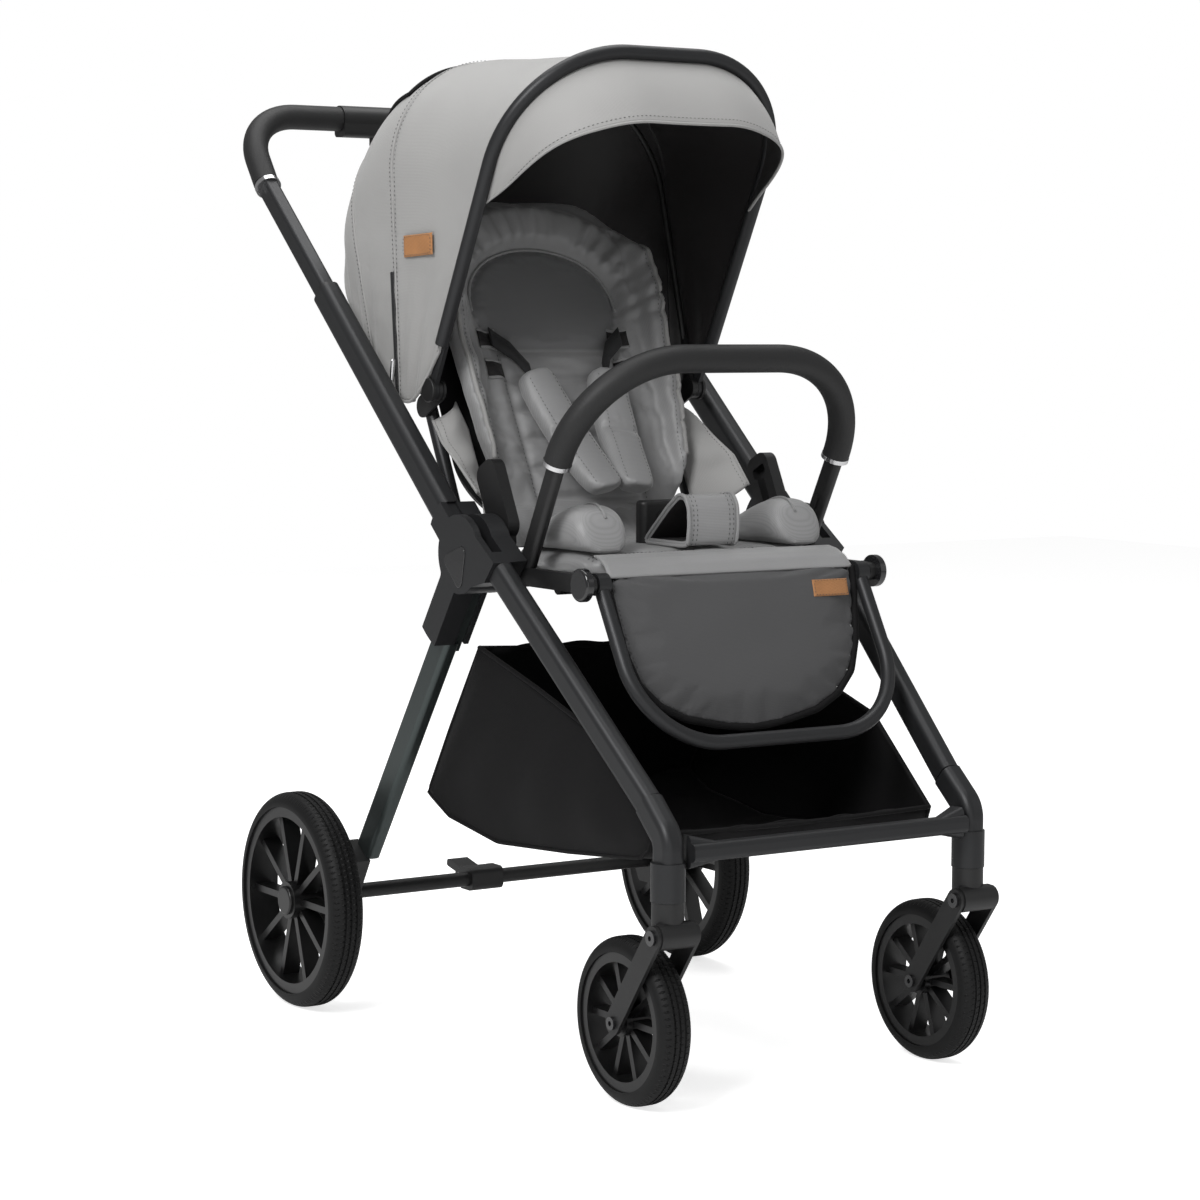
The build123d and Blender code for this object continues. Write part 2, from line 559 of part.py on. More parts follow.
with BuildPart() as pedal:
    with BuildSketch(yz_plane(BRAKE_X - BRAKE_HALF + 8 + RUN)):
        with Locations((PEDAL_Y, PEDAL_Z)):
            Circle(7)
        with Locations(Location((PEDAL_Y, PEDAL_Z, 0), (0, 0, 12))):
            with Locations((22, 0)):
                RectangleRounded(44, 9, 3)
        with Locations((PEDAL_Y, PEDAL_Z)):
            Circle(3 + PIN_GAP, mode=Mode.SUBTRACT)
    extrude(amount=2 * (BRAKE_HALF - 8 - RUN))
save(pedal.part, "brake_pedal")

# ---- seat adapters and side rails on the hubs ------------------------------------------------------
ADAPTER_IN, ADAPTER_T = 178.0, 14.0
with BuildPart() as adapter:
    with BuildSketch(yz_plane(ADAPTER_IN)):
        with Locations(Location((PIVOT_Y + 1, PIVOT_Z + 58, 0), (0, 0, -27))):
            RectangleRounded(42, 92, 14)
        with Locations((PIVOT_Y - 4, PIVOT_Z + 4)):
            RectangleRounded(46, 50, 8)
    extrude(amount=ADAPTER_T)
    with BuildSketch(yz_plane(ADAPTER_IN)):
        with Locations(Location((PIVOT_Y + 1, PIVOT_Z + 58, 0), (0, 0, -27))):
            with Locations((0, 4)):
                RectangleRounded(14, 54, 4)
            with Locations((0, 26)):
                RectangleRounded(24, 12, 3)
    extrude(amount=ADAPTER_T - 4, mode=Mode.SUBTRACT)
save_both(adapter.part, "adapter_sockets")

RAIL_REAR = PIVOT_Y - 40
with BuildPart() as rail:
    with BuildSketch(yz_plane(RAIL_X - RAIL_W / 2)):
        with Locations(((RAIL_REAR + LEGREST_Y) / 2, LEGREST_Z)):
            SlotOverall(RAIL_REAR - LEGREST_Y + RAIL_H, RAIL_H)
        with Locations((LEGREST_Y, LEGREST_Z)):
            Circle(5, mode=Mode.SUBTRACT)
    extrude(amount=RAIL_W)
    with BuildSketch(yz_plane(RAIL_X - RAIL_W / 2)):
        with Locations((RAIL_REAR - 4, LEGREST_Z)):
            Rectangle(20, RAIL_H)
    extrude(amount=HUB_IN - RAIL_X + RAIL_W / 2)

TUBE_R = 8.0
with BuildPart() as tubes:
    for y in (SEAT_FRONT + 22, SEAT_REAR - 70):
        with BuildSketch(yz_plane(-(RAIL_X - RAIL_W / 2))):
            with Locations((y, LEGREST_Z - 16 + TUBE_R)):
                Circle(TUBE_R)
        extrude(amount=2 * (RAIL_X - RAIL_W / 2))
    with BuildSketch(Plane.XY.offset(LEGREST_Z - 16 + 2 * TUBE_R - 3)):
        with Locations((0, (SEAT_FRONT + SEAT_REAR) / 2 - 18)):
            RectangleRounded(2 * SEAT_HALF - 20, SEAT_REAR - SEAT_FRONT - 40, 20)
    extrude(amount=3)
save(Compound(children=[tubes.part, *both_sides([rail.part])]), "seat_base_frame")

# ---- seat cushion, side bolsters, crotch pad, buckle -----------------------------------------------
with BuildPart() as seat_cushion:
    with BuildSketch(Plane.XY.offset(SEAT_Z - SEAT_T)):
        with Locations((0, (SEAT_FRONT + SEAT_REAR) / 2)):
            RectangleRounded(2 * SEAT_HALF, SEAT_REAR - SEAT_FRONT, 30)
    extrude(amount=SEAT_T)
    fillet(seat_cushion.faces().sort_by(Axis.Z)[-1].edges(), 10)

BOLSTER_W, BOLSTER_H = 34.0, 46.0
with BuildPart() as bolster:
    with BuildSketch(yz_plane(SEAT_HALF - BOLSTER_W - 6)):
        with BuildLine():
            Polyline(
                (SEAT_FRONT + 32, SEAT_Z),
                (SEAT_FRONT + 40, SEAT_Z + BOLSTER_H),
                (SEAT_FRONT + 96, SEAT_Z + BOLSTER_H * 0.6),
                (SEAT_REAR - 44, SEAT_Z),
                close=True,
            )
        make_face()
        fillet(vertices().group_by(Axis.Y)[1], 12)
    extrude(amount=BOLSTER_W)
save(Compound(children=[seat_cushion.part, *both_sides([bolster.part])]), "seat_cushion")

CROTCH_HALF, CROTCH_T, CROTCH_H = 30.0, 7.0, 62.0
with BuildPart() as crotch_pad:
    with BuildSketch(yz_plane(-CROTCH_HALF)):
        with Locations((SEAT_FRONT + 50, SEAT_Z + CROTCH_H / 2)):
            RectangleRounded(72, CROTCH_H, 22)
            RectangleRounded(72 - 2 * CROTCH_T, CROTCH_H - 2 * CROTCH_T, 15, mode=Mode.SUBTRACT)
    extrude(amount=2 * CROTCH_HALF)
save(crotch_pad.part, "crotch_pad")

BUCKLE_Y, BUTTON_R, BUTTON_TRAVEL = SEAT_FRONT + 98, 9.0, 2.0
with BuildPart() as buckle:
    with BuildSketch(Plane.XY.offset(SEAT_Z)):
        with Locations((0, BUCKLE_Y)):
            RectangleRounded(56, 20, 8)
    extrude(amount=48)
    fillet(buckle.faces().sort_by(Axis.Z)[-1].edges(), 5)
    with BuildSketch(Plane.XZ.offset(-(BUCKLE_Y - 10))):
        with Locations((0, SEAT_Z + 28)):
            Circle(BUTTON_R + RUN)
    extrude(amount=-8, mode=Mode.SUBTRACT)
save(buckle.part, "harness_buckle")

with BuildPart() as buckle_button:
    with BuildSketch(Plane.XZ.offset(-(BUCKLE_Y - 11.5))):
        with Locations((0, SEAT_Z + 28)):
            Circle(BUTTON_R)
    extrude(amount=-(9.5 - BUTTON_TRAVEL - RUN))
save(buckle_button.part, "buckle_button")

# ---- backrest: U-frame on two pins, padded back, head roll, shoulder pads ---------------------------
back_normal = BACK_ANGLE + 90
HINGE_Y, HINGE_Z = along(BACK_Y, BACK_Z, back_normal, -(BACK_T + HOOP_R))
HINGE_R, EYE_R, EYE_T, TUBE_START, PLATE_T = 5.0, 12.0, 15.0, 7.0, 6.0
PLATE_IN = ADAPTER_IN - PLATE_T

with BuildPart() as recline_plate:
    with BuildSketch(yz_plane(PLATE_IN)):
        run = hypot(HINGE_Y - PIVOT_Y, HINGE_Z - PIVOT_Z)
        tilt = degrees(atan2(HINGE_Z - PIVOT_Z, HINGE_Y - PIVOT_Y))
        with Locations(Location((*along(PIVOT_Y, PIVOT_Z, tilt, run / 2), 0), (0, 0, tilt))):
            SlotCenterToCenter(run, 30)
        with Locations((HINGE_Y, HINGE_Z)):
            Circle(HINGE_R, mode=Mode.SUBTRACT)
    extrude(amount=PLATE_T)
save_both(recline_plate.part, "recline_plates")

with BuildPart() as recline_pin:
    with BuildSketch(yz_plane(BACK_FRAME_HALF - HOOP_R)):
        with Locations((HINGE_Y, HINGE_Z)):
            Circle(HINGE_R)
    extrude(amount=PLATE_IN + PLATE_T - BACK_FRAME_HALF + HOOP_R)
save_all([hub_pin.part, recline_pin.part], "hinge_pins")

with BuildPart() as back_frame:
    back_start = along(HINGE_Y, HINGE_Z, BACK_ANGLE, TUBE_START)
    with BuildLine(hoop_plane(*back_start, BACK_ANGLE)):
        hoop_path(BACK_FRAME_HALF, BACK_LENGTH - TUBE_START, BACK_BEND)
    with BuildSketch(side_plane(-BACK_FRAME_HALF, *back_start, BACK_ANGLE)):
        Circle(HOOP_R)
    sweep()
    for side in SIDES.values():
        with BuildSketch(yz_plane(side * BACK_FRAME_HALF - EYE_T / 2)):
            with Locations((HINGE_Y, HINGE_Z)):
                Circle(EYE_R)
        extrude(amount=EYE_T)
        with BuildSketch(yz_plane(side * BACK_FRAME_HALF - EYE_T / 2)):
            with Locations((HINGE_Y, HINGE_Z)):
                Circle(HINGE_R + PIN_GAP)
        extrude(amount=EYE_T, mode=Mode.SUBTRACT)
save(back_frame.part, "backrest_frame")

with BuildPart() as back_board:
    with BuildSketch(hoop_plane(BACK_Y, BACK_Z, BACK_ANGLE).offset(-BACK_T - HOOP_R / 2)):
        with Locations((0, BACK_LENGTH / 2 + 12)):
            RectangleRounded(2 * (BACK_FRAME_HALF - HOOP_R) - 2, BACK_LENGTH - 50, BACK_BEND - HOOP_R)
    extrude(amount=HOOP_R / 2)
save(back_board.part, "backrest_board")

PAD_START = 22.0
with BuildPart() as back_pad:
    with BuildSketch(hoop_plane(BACK_Y, BACK_Z, BACK_ANGLE).offset(-BACK_T)):
        with Locations((0, (BACK_LENGTH + PAD_START) / 2)):
            RectangleRounded(2 * BACK_HALF, BACK_LENGTH - PAD_START, 55)
    extrude(amount=BACK_T)
    fillet(back_pad.faces().sort_by(Axis.Y)[0].edges(), 8)
save(back_pad.part, "backrest_pad")

HARNESS_T, HARNESS_W = 9.0, 52.0
with BuildPart() as shoulder_pad:
    with BuildSketch(hoop_plane(BACK_Y, BACK_Z, BACK_ANGLE)):
        with Locations(Location((58, 150, 0), (0, 0, -11))):
            RectangleRounded(HARNESS_W, 196, 20)
    extrude(amount=HARNESS_T)
save_both(shoulder_pad.part, "shoulder_pads")

# ---- canopy: rim hoop and middle hoop on one pair of pivots, two cloth covers -----------------------
ARM_T = 5.0
MOUNT_X = BACK_FRAME_HALF + HOOP_R
MID_ARM_X = MOUNT_X + 3.5
RIM_ARM_X = MID_ARM_X + ARM_T + 0.5
PIN_END = RIM_ARM_X + ARM_T + 0.5
with BuildPart() as canopy_mount:
    with BuildSketch(yz_plane(MOUNT_X)):
        middle = along(CANOPY_Y, CANOPY_Z, back_normal, -(BACK_T + HOOP_R) / 2)
        with Locations(Location((*middle, 0), (0, 0, back_normal))):
            SlotCenterToCenter(BACK_T + HOOP_R, 26)
    extrude(amount=3)
    with BuildSketch(yz_plane(MOUNT_X)):
        with Locations((CANOPY_Y, CANOPY_Z)):
            Circle(HINGE_R)
    extrude(amount=PIN_END - MOUNT_X)
    with BuildSketch(yz_plane(PIN_END)):
        with Locations((CANOPY_Y, CANOPY_Z)):
            Circle(14)
    extrude(amount=4)
    fillet(canopy_mount.faces().sort_by(Axis.X)[-1].edges(), 1.5)
save_both(canopy_mount.part, "canopy_pivots")


def hoop_arm(x, angle, width):
    """The outline of the flat arm that joins a hoop to a canopy pivot, on the plane at `x`."""
    with BuildSketch(yz_plane(x), mode=Mode.PRIVATE) as outline:
        with Locations((CANOPY_Y, CANOPY_Z)):
            Circle(12)
        with Locations(Location((CANOPY_Y, CANOPY_Z, 0), (0, 0, angle))):
            Rectangle(HOOP_START + 4, width, align=(Align.MIN, Align.CENTER))
        with Locations((CANOPY_Y, CANOPY_Z)):
            Circle(HINGE_R + PIN_GAP, mode=Mode.SUBTRACT)
    return outline.sketch


with BuildPart() as rim_hoop:
    for start in (RIM_ARM_X, -RIM_ARM_X - ARM_T):
        extrude(hoop_arm(start, CANOPY_TILT, 13), amount=ARM_T)
    rim_start = along(CANOPY_Y, CANOPY_Z, CANOPY_TILT, HOOP_START)
    with BuildLine(hoop_plane(*rim_start, CANOPY_TILT)):
        hoop_path(RIM_HALF, RIM_HEIGHT - HOOP_START, RIM_BEND)
    with BuildSketch(side_plane(-RIM_HALF, *rim_start, CANOPY_TILT)):
        Circle(RIM_R)
    sweep()
save(rim_hoop.part, "canopy_rim_hoop")

with BuildPart() as mid_hoop:
    for start in (MID_ARM_X, -MID_ARM_X - ARM_T):
        extrude(hoop_arm(start, MID_TILT, 8), amount=ARM_T)
    mid_start = along(CANOPY_Y, CANOPY_Z, MID_TILT, HOOP_START)
    with BuildLine(hoop_plane(*mid_start, MID_TILT)):
        hoop_path(MID_HALF, MID_HEIGHT - HOOP_START, RIM_BEND)
    with BuildSketch(side_plane(-MID_HALF, *mid_start, MID_TILT)):
        Circle(MID_R)
    sweep()
save(mid_hoop.part, "canopy_mid_hoop")


def cloth_section(half, height, angle, shift):
    """A U-shaped band of cloth beside the plane of a hoop, `shift` along its normal."""
    start = along(CANOPY_Y, CANOPY_Z, angle, HOOP_START + 6)
    with BuildSketch(hoop_plane(*start, angle).offset(shift), mode=Mode.PRIVATE) as section:
        with BuildLine():
            outer = hoop_path(half + CLOTH / 2, height - HOOP_START - 6 + CLOTH / 2, RIM_BEND)
            inner = hoop_path(half - CLOTH / 2, height - HOOP_START - 6 - CLOTH / 2, RIM_BEND - CLOTH)
            Line(outer @ 0, inner @ 0)
            Line(outer @ 1, inner @ 1)
        make_face()
    return section.sketch


with BuildPart() as front_cover:
    front_edge = cloth_section(RIM_HALF, RIM_HEIGHT, CANOPY_TILT, -(RIM_R + 1))
    front_seam = cloth_section(MID_HALF + 1, MID_HEIGHT + 8, MID_TILT, MID_R + 1)
    loft([front_edge, front_seam])
save(front_cover.part, "canopy_front_cover")

with BuildPart() as rear_cover:
    rear_seam = cloth_section(MID_HALF + 2, MID_HEIGHT + 2, MID_TILT, -(MID_R + 1))
    rear_bulge = cloth_section(MID_HALF + 3, 358, 52, 0)
    rear_edge = cloth_section(MID_HALF + 2, 306, 30, 0)
    loft([rear_seam, rear_bulge, rear_edge])
save(rear_cover.part, "canopy_rear_cover")

# ---- bumper bar on two posts ------------------------------------------------------------------------
def down_bumper(distance):
    """The (y, z) point `distance` below the bumper's rings along its posts."""
    return along(BUMPER_Y, BUMPER_Z, BUMPER_TILT, -distance)


BUTTON_DROP, PUSH, POST_TOP = 62.0, 2.0, 5.0 + SEAM
with BuildPart() as post:
    with BuildSketch(side_plane(BUMPER_HALF, *down_bumper(POST_TOP), BUMPER_TILT + 180)):
        RectangleRounded(POST_W, POST_D, 6)
    extrude(amount=140)
    with BuildSketch(Plane.XY.offset(LEGREST_Z + RAIL_H / 2)):
        with Locations((BUMPER_HALF, BUMPER_Y + 60)):
            Rectangle(80, 160)
    extrude(amount=-60, mode=Mode.SUBTRACT)
    with BuildSketch(side_plane(BUMPER_HALF, BUMPER_Y, BUMPER_Z, BUMPER_TILT + 180)):
        Rectangle(PLUG_W + 2 * RUN, PLUG_D + 2 * RUN)
    extrude(amount=PLUG_LENGTH + 2, mode=Mode.SUBTRACT)
    with BuildSketch(yz_plane(BUMPER_HALF - POST_W)):
        with Locations(Location((*down_bumper(BUTTON_DROP), 0), (0, 0, BUMPER_TILT))):
            SlotOverall(18 + 2 * RUN, 8 + 2 * RUN)
    extrude(amount=POST_W, mode=Mode.SUBTRACT)
save_both(post.part, "bumper_posts")

with BuildPart() as bumper_button:
    with BuildSketch(yz_plane(BUMPER_HALF - POST_W / 2 - PUSH)):
        with Locations(Location((*down_bumper(BUTTON_DROP), 0), (0, 0, BUMPER_TILT))):
            SlotOverall(18, 8)
    extrude(amount=POST_W / 2 - RUN)
save_pair(bumper_button.part, "bumper_button")

with BuildPart() as bumper:
    with BuildLine(hoop_plane(BUMPER_Y, BUMPER_Z, BUMPER_TILT)):
        hoop_path(BUMPER_HALF, BUMPER_RISE, BUMPER_BEND)
    with BuildSketch(side_plane(-BUMPER_HALF, BUMPER_Y, BUMPER_Z, BUMPER_TILT)):
        Circle(BUMPER_R)
    sweep()
save(bumper.part, "bumper_bar")

with BuildPart() as bumper_end:
    with BuildSketch(side_plane(BUMPER_HALF, BUMPER_Y, BUMPER_Z, BUMPER_TILT + 180)):
        Circle(BUMPER_R + 0.5)
    extrude(amount=5)
    with BuildSketch(side_plane(BUMPER_HALF, BUMPER_Y, BUMPER_Z, BUMPER_TILT + 180)):
        Rectangle(PLUG_W, PLUG_D)
    extrude(amount=PLUG_LENGTH)
save_both(bumper_end.part, "bumper_plugs")

# ---- leg rest: U-tube on two pins, padded board ------------------------------------------------------
LEG_PIN_IN, KNOB_R, KNOB_T = LEGREST_HALF - HOOP_R, 18.0, 9.0
with BuildPart() as leg_pin:
    with BuildSketch(yz_plane(LEG_PIN_IN)):
        with Locations((LEGREST_Y, LEGREST_Z)):
            Circle(HINGE_R)
    extrude(amount=RAIL_X + RAIL_W / 2 - LEG_PIN_IN)
    with BuildSketch(yz_plane(RAIL_X + RAIL_W / 2)):
        with Locations((LEGREST_Y, LEGREST_Z)):
            Circle(KNOB_R)
    extrude(amount=KNOB_T)
    fillet(leg_pin.faces().sort_by(Axis.X)[-1].edges(), 3)
save_both(leg_pin.part, "legrest_knobs")

with BuildPart() as legrest_frame:
    legrest_start = along(LEGREST_Y, LEGREST_Z, LEGREST_ANGLE, TUBE_START)
    with BuildLine(hoop_plane(*legrest_start, LEGREST_ANGLE)):
        hoop_path(LEGREST_HALF, LEGREST_LENGTH - TUBE_START, LEGREST_BEND)
    with BuildSketch(side_plane(-LEGREST_HALF, *legrest_start, LEGREST_ANGLE)):
        Circle(HOOP_R)
    sweep()
    for side in SIDES.values():
        with BuildSketch(yz_plane(side * LEGREST_HALF - EYE_T / 2)):
            with Locations((LEGREST_Y, LEGREST_Z)):
                Circle(EYE_R)
        extrude(amount=EYE_T)
        with BuildSketch(yz_plane(side * LEGREST_HALF - EYE_T / 2)):
            with Locations((LEGREST_Y, LEGREST_Z)):
                Circle(HINGE_R + PIN_GAP)
        extrude(amount=EYE_T, mode=Mode.SUBTRACT)
save(legrest_frame.part, "legrest_frame")

APRON_ANGLE, APRON_T, APRON_START, APRON_LENGTH = 255.0, 12.0, 14.0, 152.0
with BuildPart() as apron:
    with BuildSketch(hoop_plane(LEGREST_Y, LEGREST_Z, APRON_ANGLE).offset(-APRON_T / 2)):
        with Locations((0, APRON_START + APRON_LENGTH / 2)):
            RectangleRounded(2 * LEG_PIN_IN - 8, APRON_LENGTH, 30)
        with Locations((0, APRON_START + 22)):
            RectangleRounded(2 * LEG_PIN_IN, 20, 6)
        split(bisect_by=Plane.XZ.offset(-APRON_START - 4), keep=Keep.BOTH)
    extrude(amount=APRON_T)
save(apron.part, "legrest_apron")

# ---- basket under the seat ---------------------------------------------------------------------------
BASKET_HALF = 184.0
BASKET = [(-50, 450), (70, 262), (-97, 229), (-396, 258), (-404, 284), (-300, 380)]
with BuildPart() as basket:
    with BuildSketch(yz_plane(-BASKET_HALF)):
        with BuildLine():
            Polyline(*BASKET, close=True)
        make_face()
    extrude(amount=2 * BASKET_HALF)
    with BuildSketch(yz_plane(-BASKET_HALF + CLOTH)):
        with BuildLine():
            Polyline(
                (-50 - 1.6 * CLOTH, 452),
                (70 - 1.6 * CLOTH, 262 + CLOTH),
                (-97, 229 + CLOTH),
                (-396 + CLOTH, 258 + CLOTH),
                (-404 + CLOTH, 290),
                (-420, 500),
                close=True,
            )
        make_face()
    extrude(amount=2 * (BASKET_HALF - CLOTH), mode=Mode.SUBTRACT)
save(basket.part, "basket")
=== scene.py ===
# %% [markdown]
# # A folding baby stroller
# The metalwork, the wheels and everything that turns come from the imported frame. This lesson dresses it:
# each cloth, cushion and finish is a small step. A shape is a grid of points worked out with numpy, so
# that it can be read as a formula, and every finish is a node material.

# %% Load the frame
import math

import bpy
import numpy as np
from mathutils import Matrix, Vector
from mathutils.bvhtree import BVHTree


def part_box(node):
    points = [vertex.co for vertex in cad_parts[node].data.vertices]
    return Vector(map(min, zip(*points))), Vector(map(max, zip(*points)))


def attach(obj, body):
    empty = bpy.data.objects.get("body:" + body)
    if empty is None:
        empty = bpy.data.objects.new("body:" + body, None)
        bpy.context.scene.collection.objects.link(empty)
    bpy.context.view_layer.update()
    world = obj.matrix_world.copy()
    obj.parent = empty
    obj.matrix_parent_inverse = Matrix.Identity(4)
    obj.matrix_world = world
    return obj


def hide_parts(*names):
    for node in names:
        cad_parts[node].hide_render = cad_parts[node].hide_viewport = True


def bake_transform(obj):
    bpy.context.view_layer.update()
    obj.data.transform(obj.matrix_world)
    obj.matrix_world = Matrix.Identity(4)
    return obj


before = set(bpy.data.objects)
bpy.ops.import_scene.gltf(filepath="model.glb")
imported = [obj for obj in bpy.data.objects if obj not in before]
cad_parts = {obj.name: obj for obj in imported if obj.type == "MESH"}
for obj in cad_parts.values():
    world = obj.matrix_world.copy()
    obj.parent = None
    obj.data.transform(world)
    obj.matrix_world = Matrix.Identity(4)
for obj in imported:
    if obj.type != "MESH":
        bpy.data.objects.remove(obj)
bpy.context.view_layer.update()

# %% [markdown]
# ## Camera, floor and light
# The camera stands in front and to the child's right, a little above seat height, with a long lens, so
# that the wheels stay nearly parallel. Four large soft lights and a pale floor make a plain studio.

# %% Camera
AZIMUTH, ELEVATION, ROLL = math.radians(-32.6015), math.radians(5.1416), math.radians(0.1987)
CAMERA_PLACE = (-1.9200, -3.0173, 0.8113)
LENS_MM, SENSOR_MM = 92.01, 36.0
camera_back = Vector((math.sin(AZIMUTH) * math.cos(ELEVATION), -math.cos(AZIMUTH) * math.cos(ELEVATION),
                      math.sin(ELEVATION)))
level_right = Vector((math.cos(AZIMUTH), math.sin(AZIMUTH), 0))
level_up = camera_back.cross(level_right)
camera_right = level_right * math.cos(ROLL) + level_up * math.sin(ROLL)
camera_up = level_up * math.cos(ROLL) - level_right * math.sin(ROLL)
camera_turn = Matrix((camera_right, camera_up, camera_back)).transposed().to_4x4()
camera = bpy.data.objects.new("camera", bpy.data.cameras.new("camera"))
camera.matrix_world = Matrix.Translation(CAMERA_PLACE) @ camera_turn
camera.data.lens, camera.data.sensor_width = LENS_MM, SENSOR_MM
bpy.context.collection.objects.link(camera)
bpy.context.scene.camera = camera
print("camera at", CAMERA_PLACE, "with a", LENS_MM, "mm lens")


# %% Lights and the white surroundings
AMBIENT_LIGHT, BACKDROP_LIGHT = 0.27, 1.0      # how bright the world is to the object, and to the camera


def area_light(name, place, aim, size, power):
    """A square soft light at `place` that faces `aim`."""
    lamp = bpy.data.objects.new(name, bpy.data.lights.new(name, "AREA"))
    lamp.data.size, lamp.data.energy = size, power
    lamp.location = place
    lamp.rotation_euler = (Vector(aim) - Vector(place)).to_track_quat("-Z", "Y").to_euler()
    bpy.context.collection.objects.link(lamp)


area_light("key", (-2.9, -1.6, 3.0), (0, 0, 0.6), 1.5, 118)
area_light("fill", (2.8, -2.4, 1.7), (0, 0, 0.5), 2.6, 10)
area_light("top", (0.2, 0.4, 3.2), (0, 0, 0.5), 2.4, 60)
area_light("front", (-1.2, -3.6, 1.0), (0, 0, 0.5), 1.8, 10)

world = bpy.data.worlds.new("studio")
world.use_nodes = True
ambient = world.node_tree.nodes["Background"]
ambient.inputs["Color"].default_value = (1, 1, 1, 1)
backdrop = world.node_tree.nodes.new("ShaderNodeLightPath")
seen = world.node_tree.nodes.new("ShaderNodeMapRange")
seen.inputs["To Min"].default_value, seen.inputs["To Max"].default_value = AMBIENT_LIGHT, BACKDROP_LIGHT
world.node_tree.links.new(backdrop.outputs["Is Camera Ray"], seen.inputs["Value"])
world.node_tree.links.new(seen.outputs["Result"], ambient.inputs["Strength"])
bpy.context.scene.world = world
bpy.context.scene.view_settings.view_transform = "Standard"
print("lights", sorted(lamp.name for lamp in bpy.data.lights))


# %% [markdown]
# ## Grids of points
# Nearly every soft piece here is a rectangular grid bent into shape, so one helper turns a grid of points
# into a smooth mesh with a UV map. It can be closed on itself in either direction.

# %% Grid, tube and stitch helpers
NEARLY_UP = (0.13, 0.21, 0.97)     # a direction that no path here follows, to measure "sideways" from


def grid_piece(name, points, materials, wrap=False, uv_size=(1, 1), thickness=0, inner=0):
    """A mesh from an (n, m, 3) grid of points. `wrap` joins the last column to the first.
    A thickness adds a wall behind the surface, which takes material number `inner`."""
    points = np.asarray(points, float)
    n, m = points.shape[:2]
    rows, columns = np.meshgrid(np.arange(n - 1), np.arange(m if wrap else m - 1), indexing="ij")
    after = (columns + 1) % m
    this, below = rows * m, (rows + 1) * m
    faces = np.stack([this + columns, this + after, below + after, below + columns], -1)
    mesh = bpy.data.meshes.new(name)
    mesh.from_pydata(points.reshape(-1, 3), [], faces.reshape(-1, 4).tolist())
    uv = np.stack([columns, rows, columns + 1, rows, columns + 1, rows + 1, columns, rows + 1], -1)
    uv = uv.reshape(-1, 2) / (m - 1, n - 1) * uv_size
    mesh.uv_layers.new(name="UVMap").data.foreach_set("uv", uv.ravel())
    mesh.polygons.foreach_set("use_smooth", np.ones(len(mesh.polygons), bool))
    piece = bpy.data.objects.new(name, mesh)
    bpy.context.collection.objects.link(piece)
    for material in materials:
        mesh.materials.append(material)
    if thickness:
        wall = piece.modifiers.new("wall", "SOLIDIFY")
        wall.thickness, wall.offset, wall.material_offset = thickness, -1, inner
    mesh.update()
    return piece


def smooth(edge_a, edge_b, x):
    """0 below edge_a, 1 above edge_b, and an S-curve between them."""
    t = np.clip((x - edge_a) / (edge_b - edge_a), 0, 1)
    return t * t * (3 - 2 * t)


def path_axes(path):
    """Unit vectors at each point of a path: ahead along it, to its side, and over it."""
    ahead = np.gradient(path, axis=0)
    ahead /= np.linalg.norm(ahead, axis=1, keepdims=True) + 1e-12
    side = np.cross(ahead, NEARLY_UP)
    side /= np.linalg.norm(side, axis=1, keepdims=True) + 1e-12
    return ahead, side, np.cross(side, ahead)


def tube_points(path, radius, around=10, flat=1.0):
    """Rings of `radius` carried along an (n, 3) path; `flat` squashes them across the second axis."""
    path = np.asarray(path, float)
    ahead, side, over = path_axes(path)
    angle = np.linspace(0, 2 * np.pi, around, endpoint=False)
    radius = np.broadcast_to(radius, len(path))[:, None, None]
    ring = side[:, None] * np.cos(angle)[None, :, None] + flat * over[:, None] * np.sin(angle)[None, :, None]
    return path[:, None] + radius * ring


def tube(name, path, radius, material, around=10, flat=1.0):
    """A closed tube along a path, with its ends drawn in to a point."""
    points = tube_points(path, radius, around, flat)
    ends = [np.repeat(points[k].mean(0)[None, None], around, 1) for k in (0, -1)]
    return grid_piece(name, np.concatenate([ends[0], points, ends[1]]), [material], wrap=True)


def resample(path, count):
    """`count` points evenly spaced along a path."""
    path = np.asarray(path, float)
    walked = np.concatenate([[0], np.cumsum(np.linalg.norm(np.diff(path, axis=0), axis=1))])
    want = np.linspace(0, walked[-1], count)
    return np.stack([np.interp(want, walked, path[:, k]) for k in range(path.shape[1])], -1)


def stitches(name, path, material, pitch=0.0052, length=0.0034, radius=0.00045):
    """A row of short thread stitches along a path, as one mesh of small six-sided lozenges."""
    path = np.asarray(path, float)
    total = np.linalg.norm(np.diff(path, axis=0), axis=1).sum()
    count = max(2, int(total / pitch))
    line = resample(path, count)
    ahead, side, over = path_axes(line)
    corners = np.stack([line - ahead * length / 2, line + side * radius, line + over * radius,
                        line - side * radius, line - over * radius, line + ahead * length / 2], 1)
    faces = np.array([(0, 2, 1), (0, 3, 2), (0, 4, 3), (0, 1, 4), (5, 1, 2), (5, 2, 3), (5, 3, 4), (5, 4, 1)])
    faces = (np.arange(count)[:, None, None] * 6 + faces[None]).reshape(-1, 3)
    mesh = bpy.data.meshes.new(name)
    mesh.from_pydata(corners.reshape(-1, 3), [], faces.tolist())
    mesh.materials.append(material)
    piece = bpy.data.objects.new(name, mesh)
    bpy.context.collection.objects.link(piece)
    return piece


SIDES = ((1, "left"), (-1, "right"))


def superpower(wave, power):
    """sign(wave) |wave|^power: a power below 1 squares off a sine or a cosine."""
    return np.sign(wave) * np.abs(wave) ** power


def fasten(pieces, body):
    """Fix every piece to one body."""
    for piece in pieces:
        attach(piece, body)
    print(len(pieces), "pieces ride", body, "with", pieces[0].name)


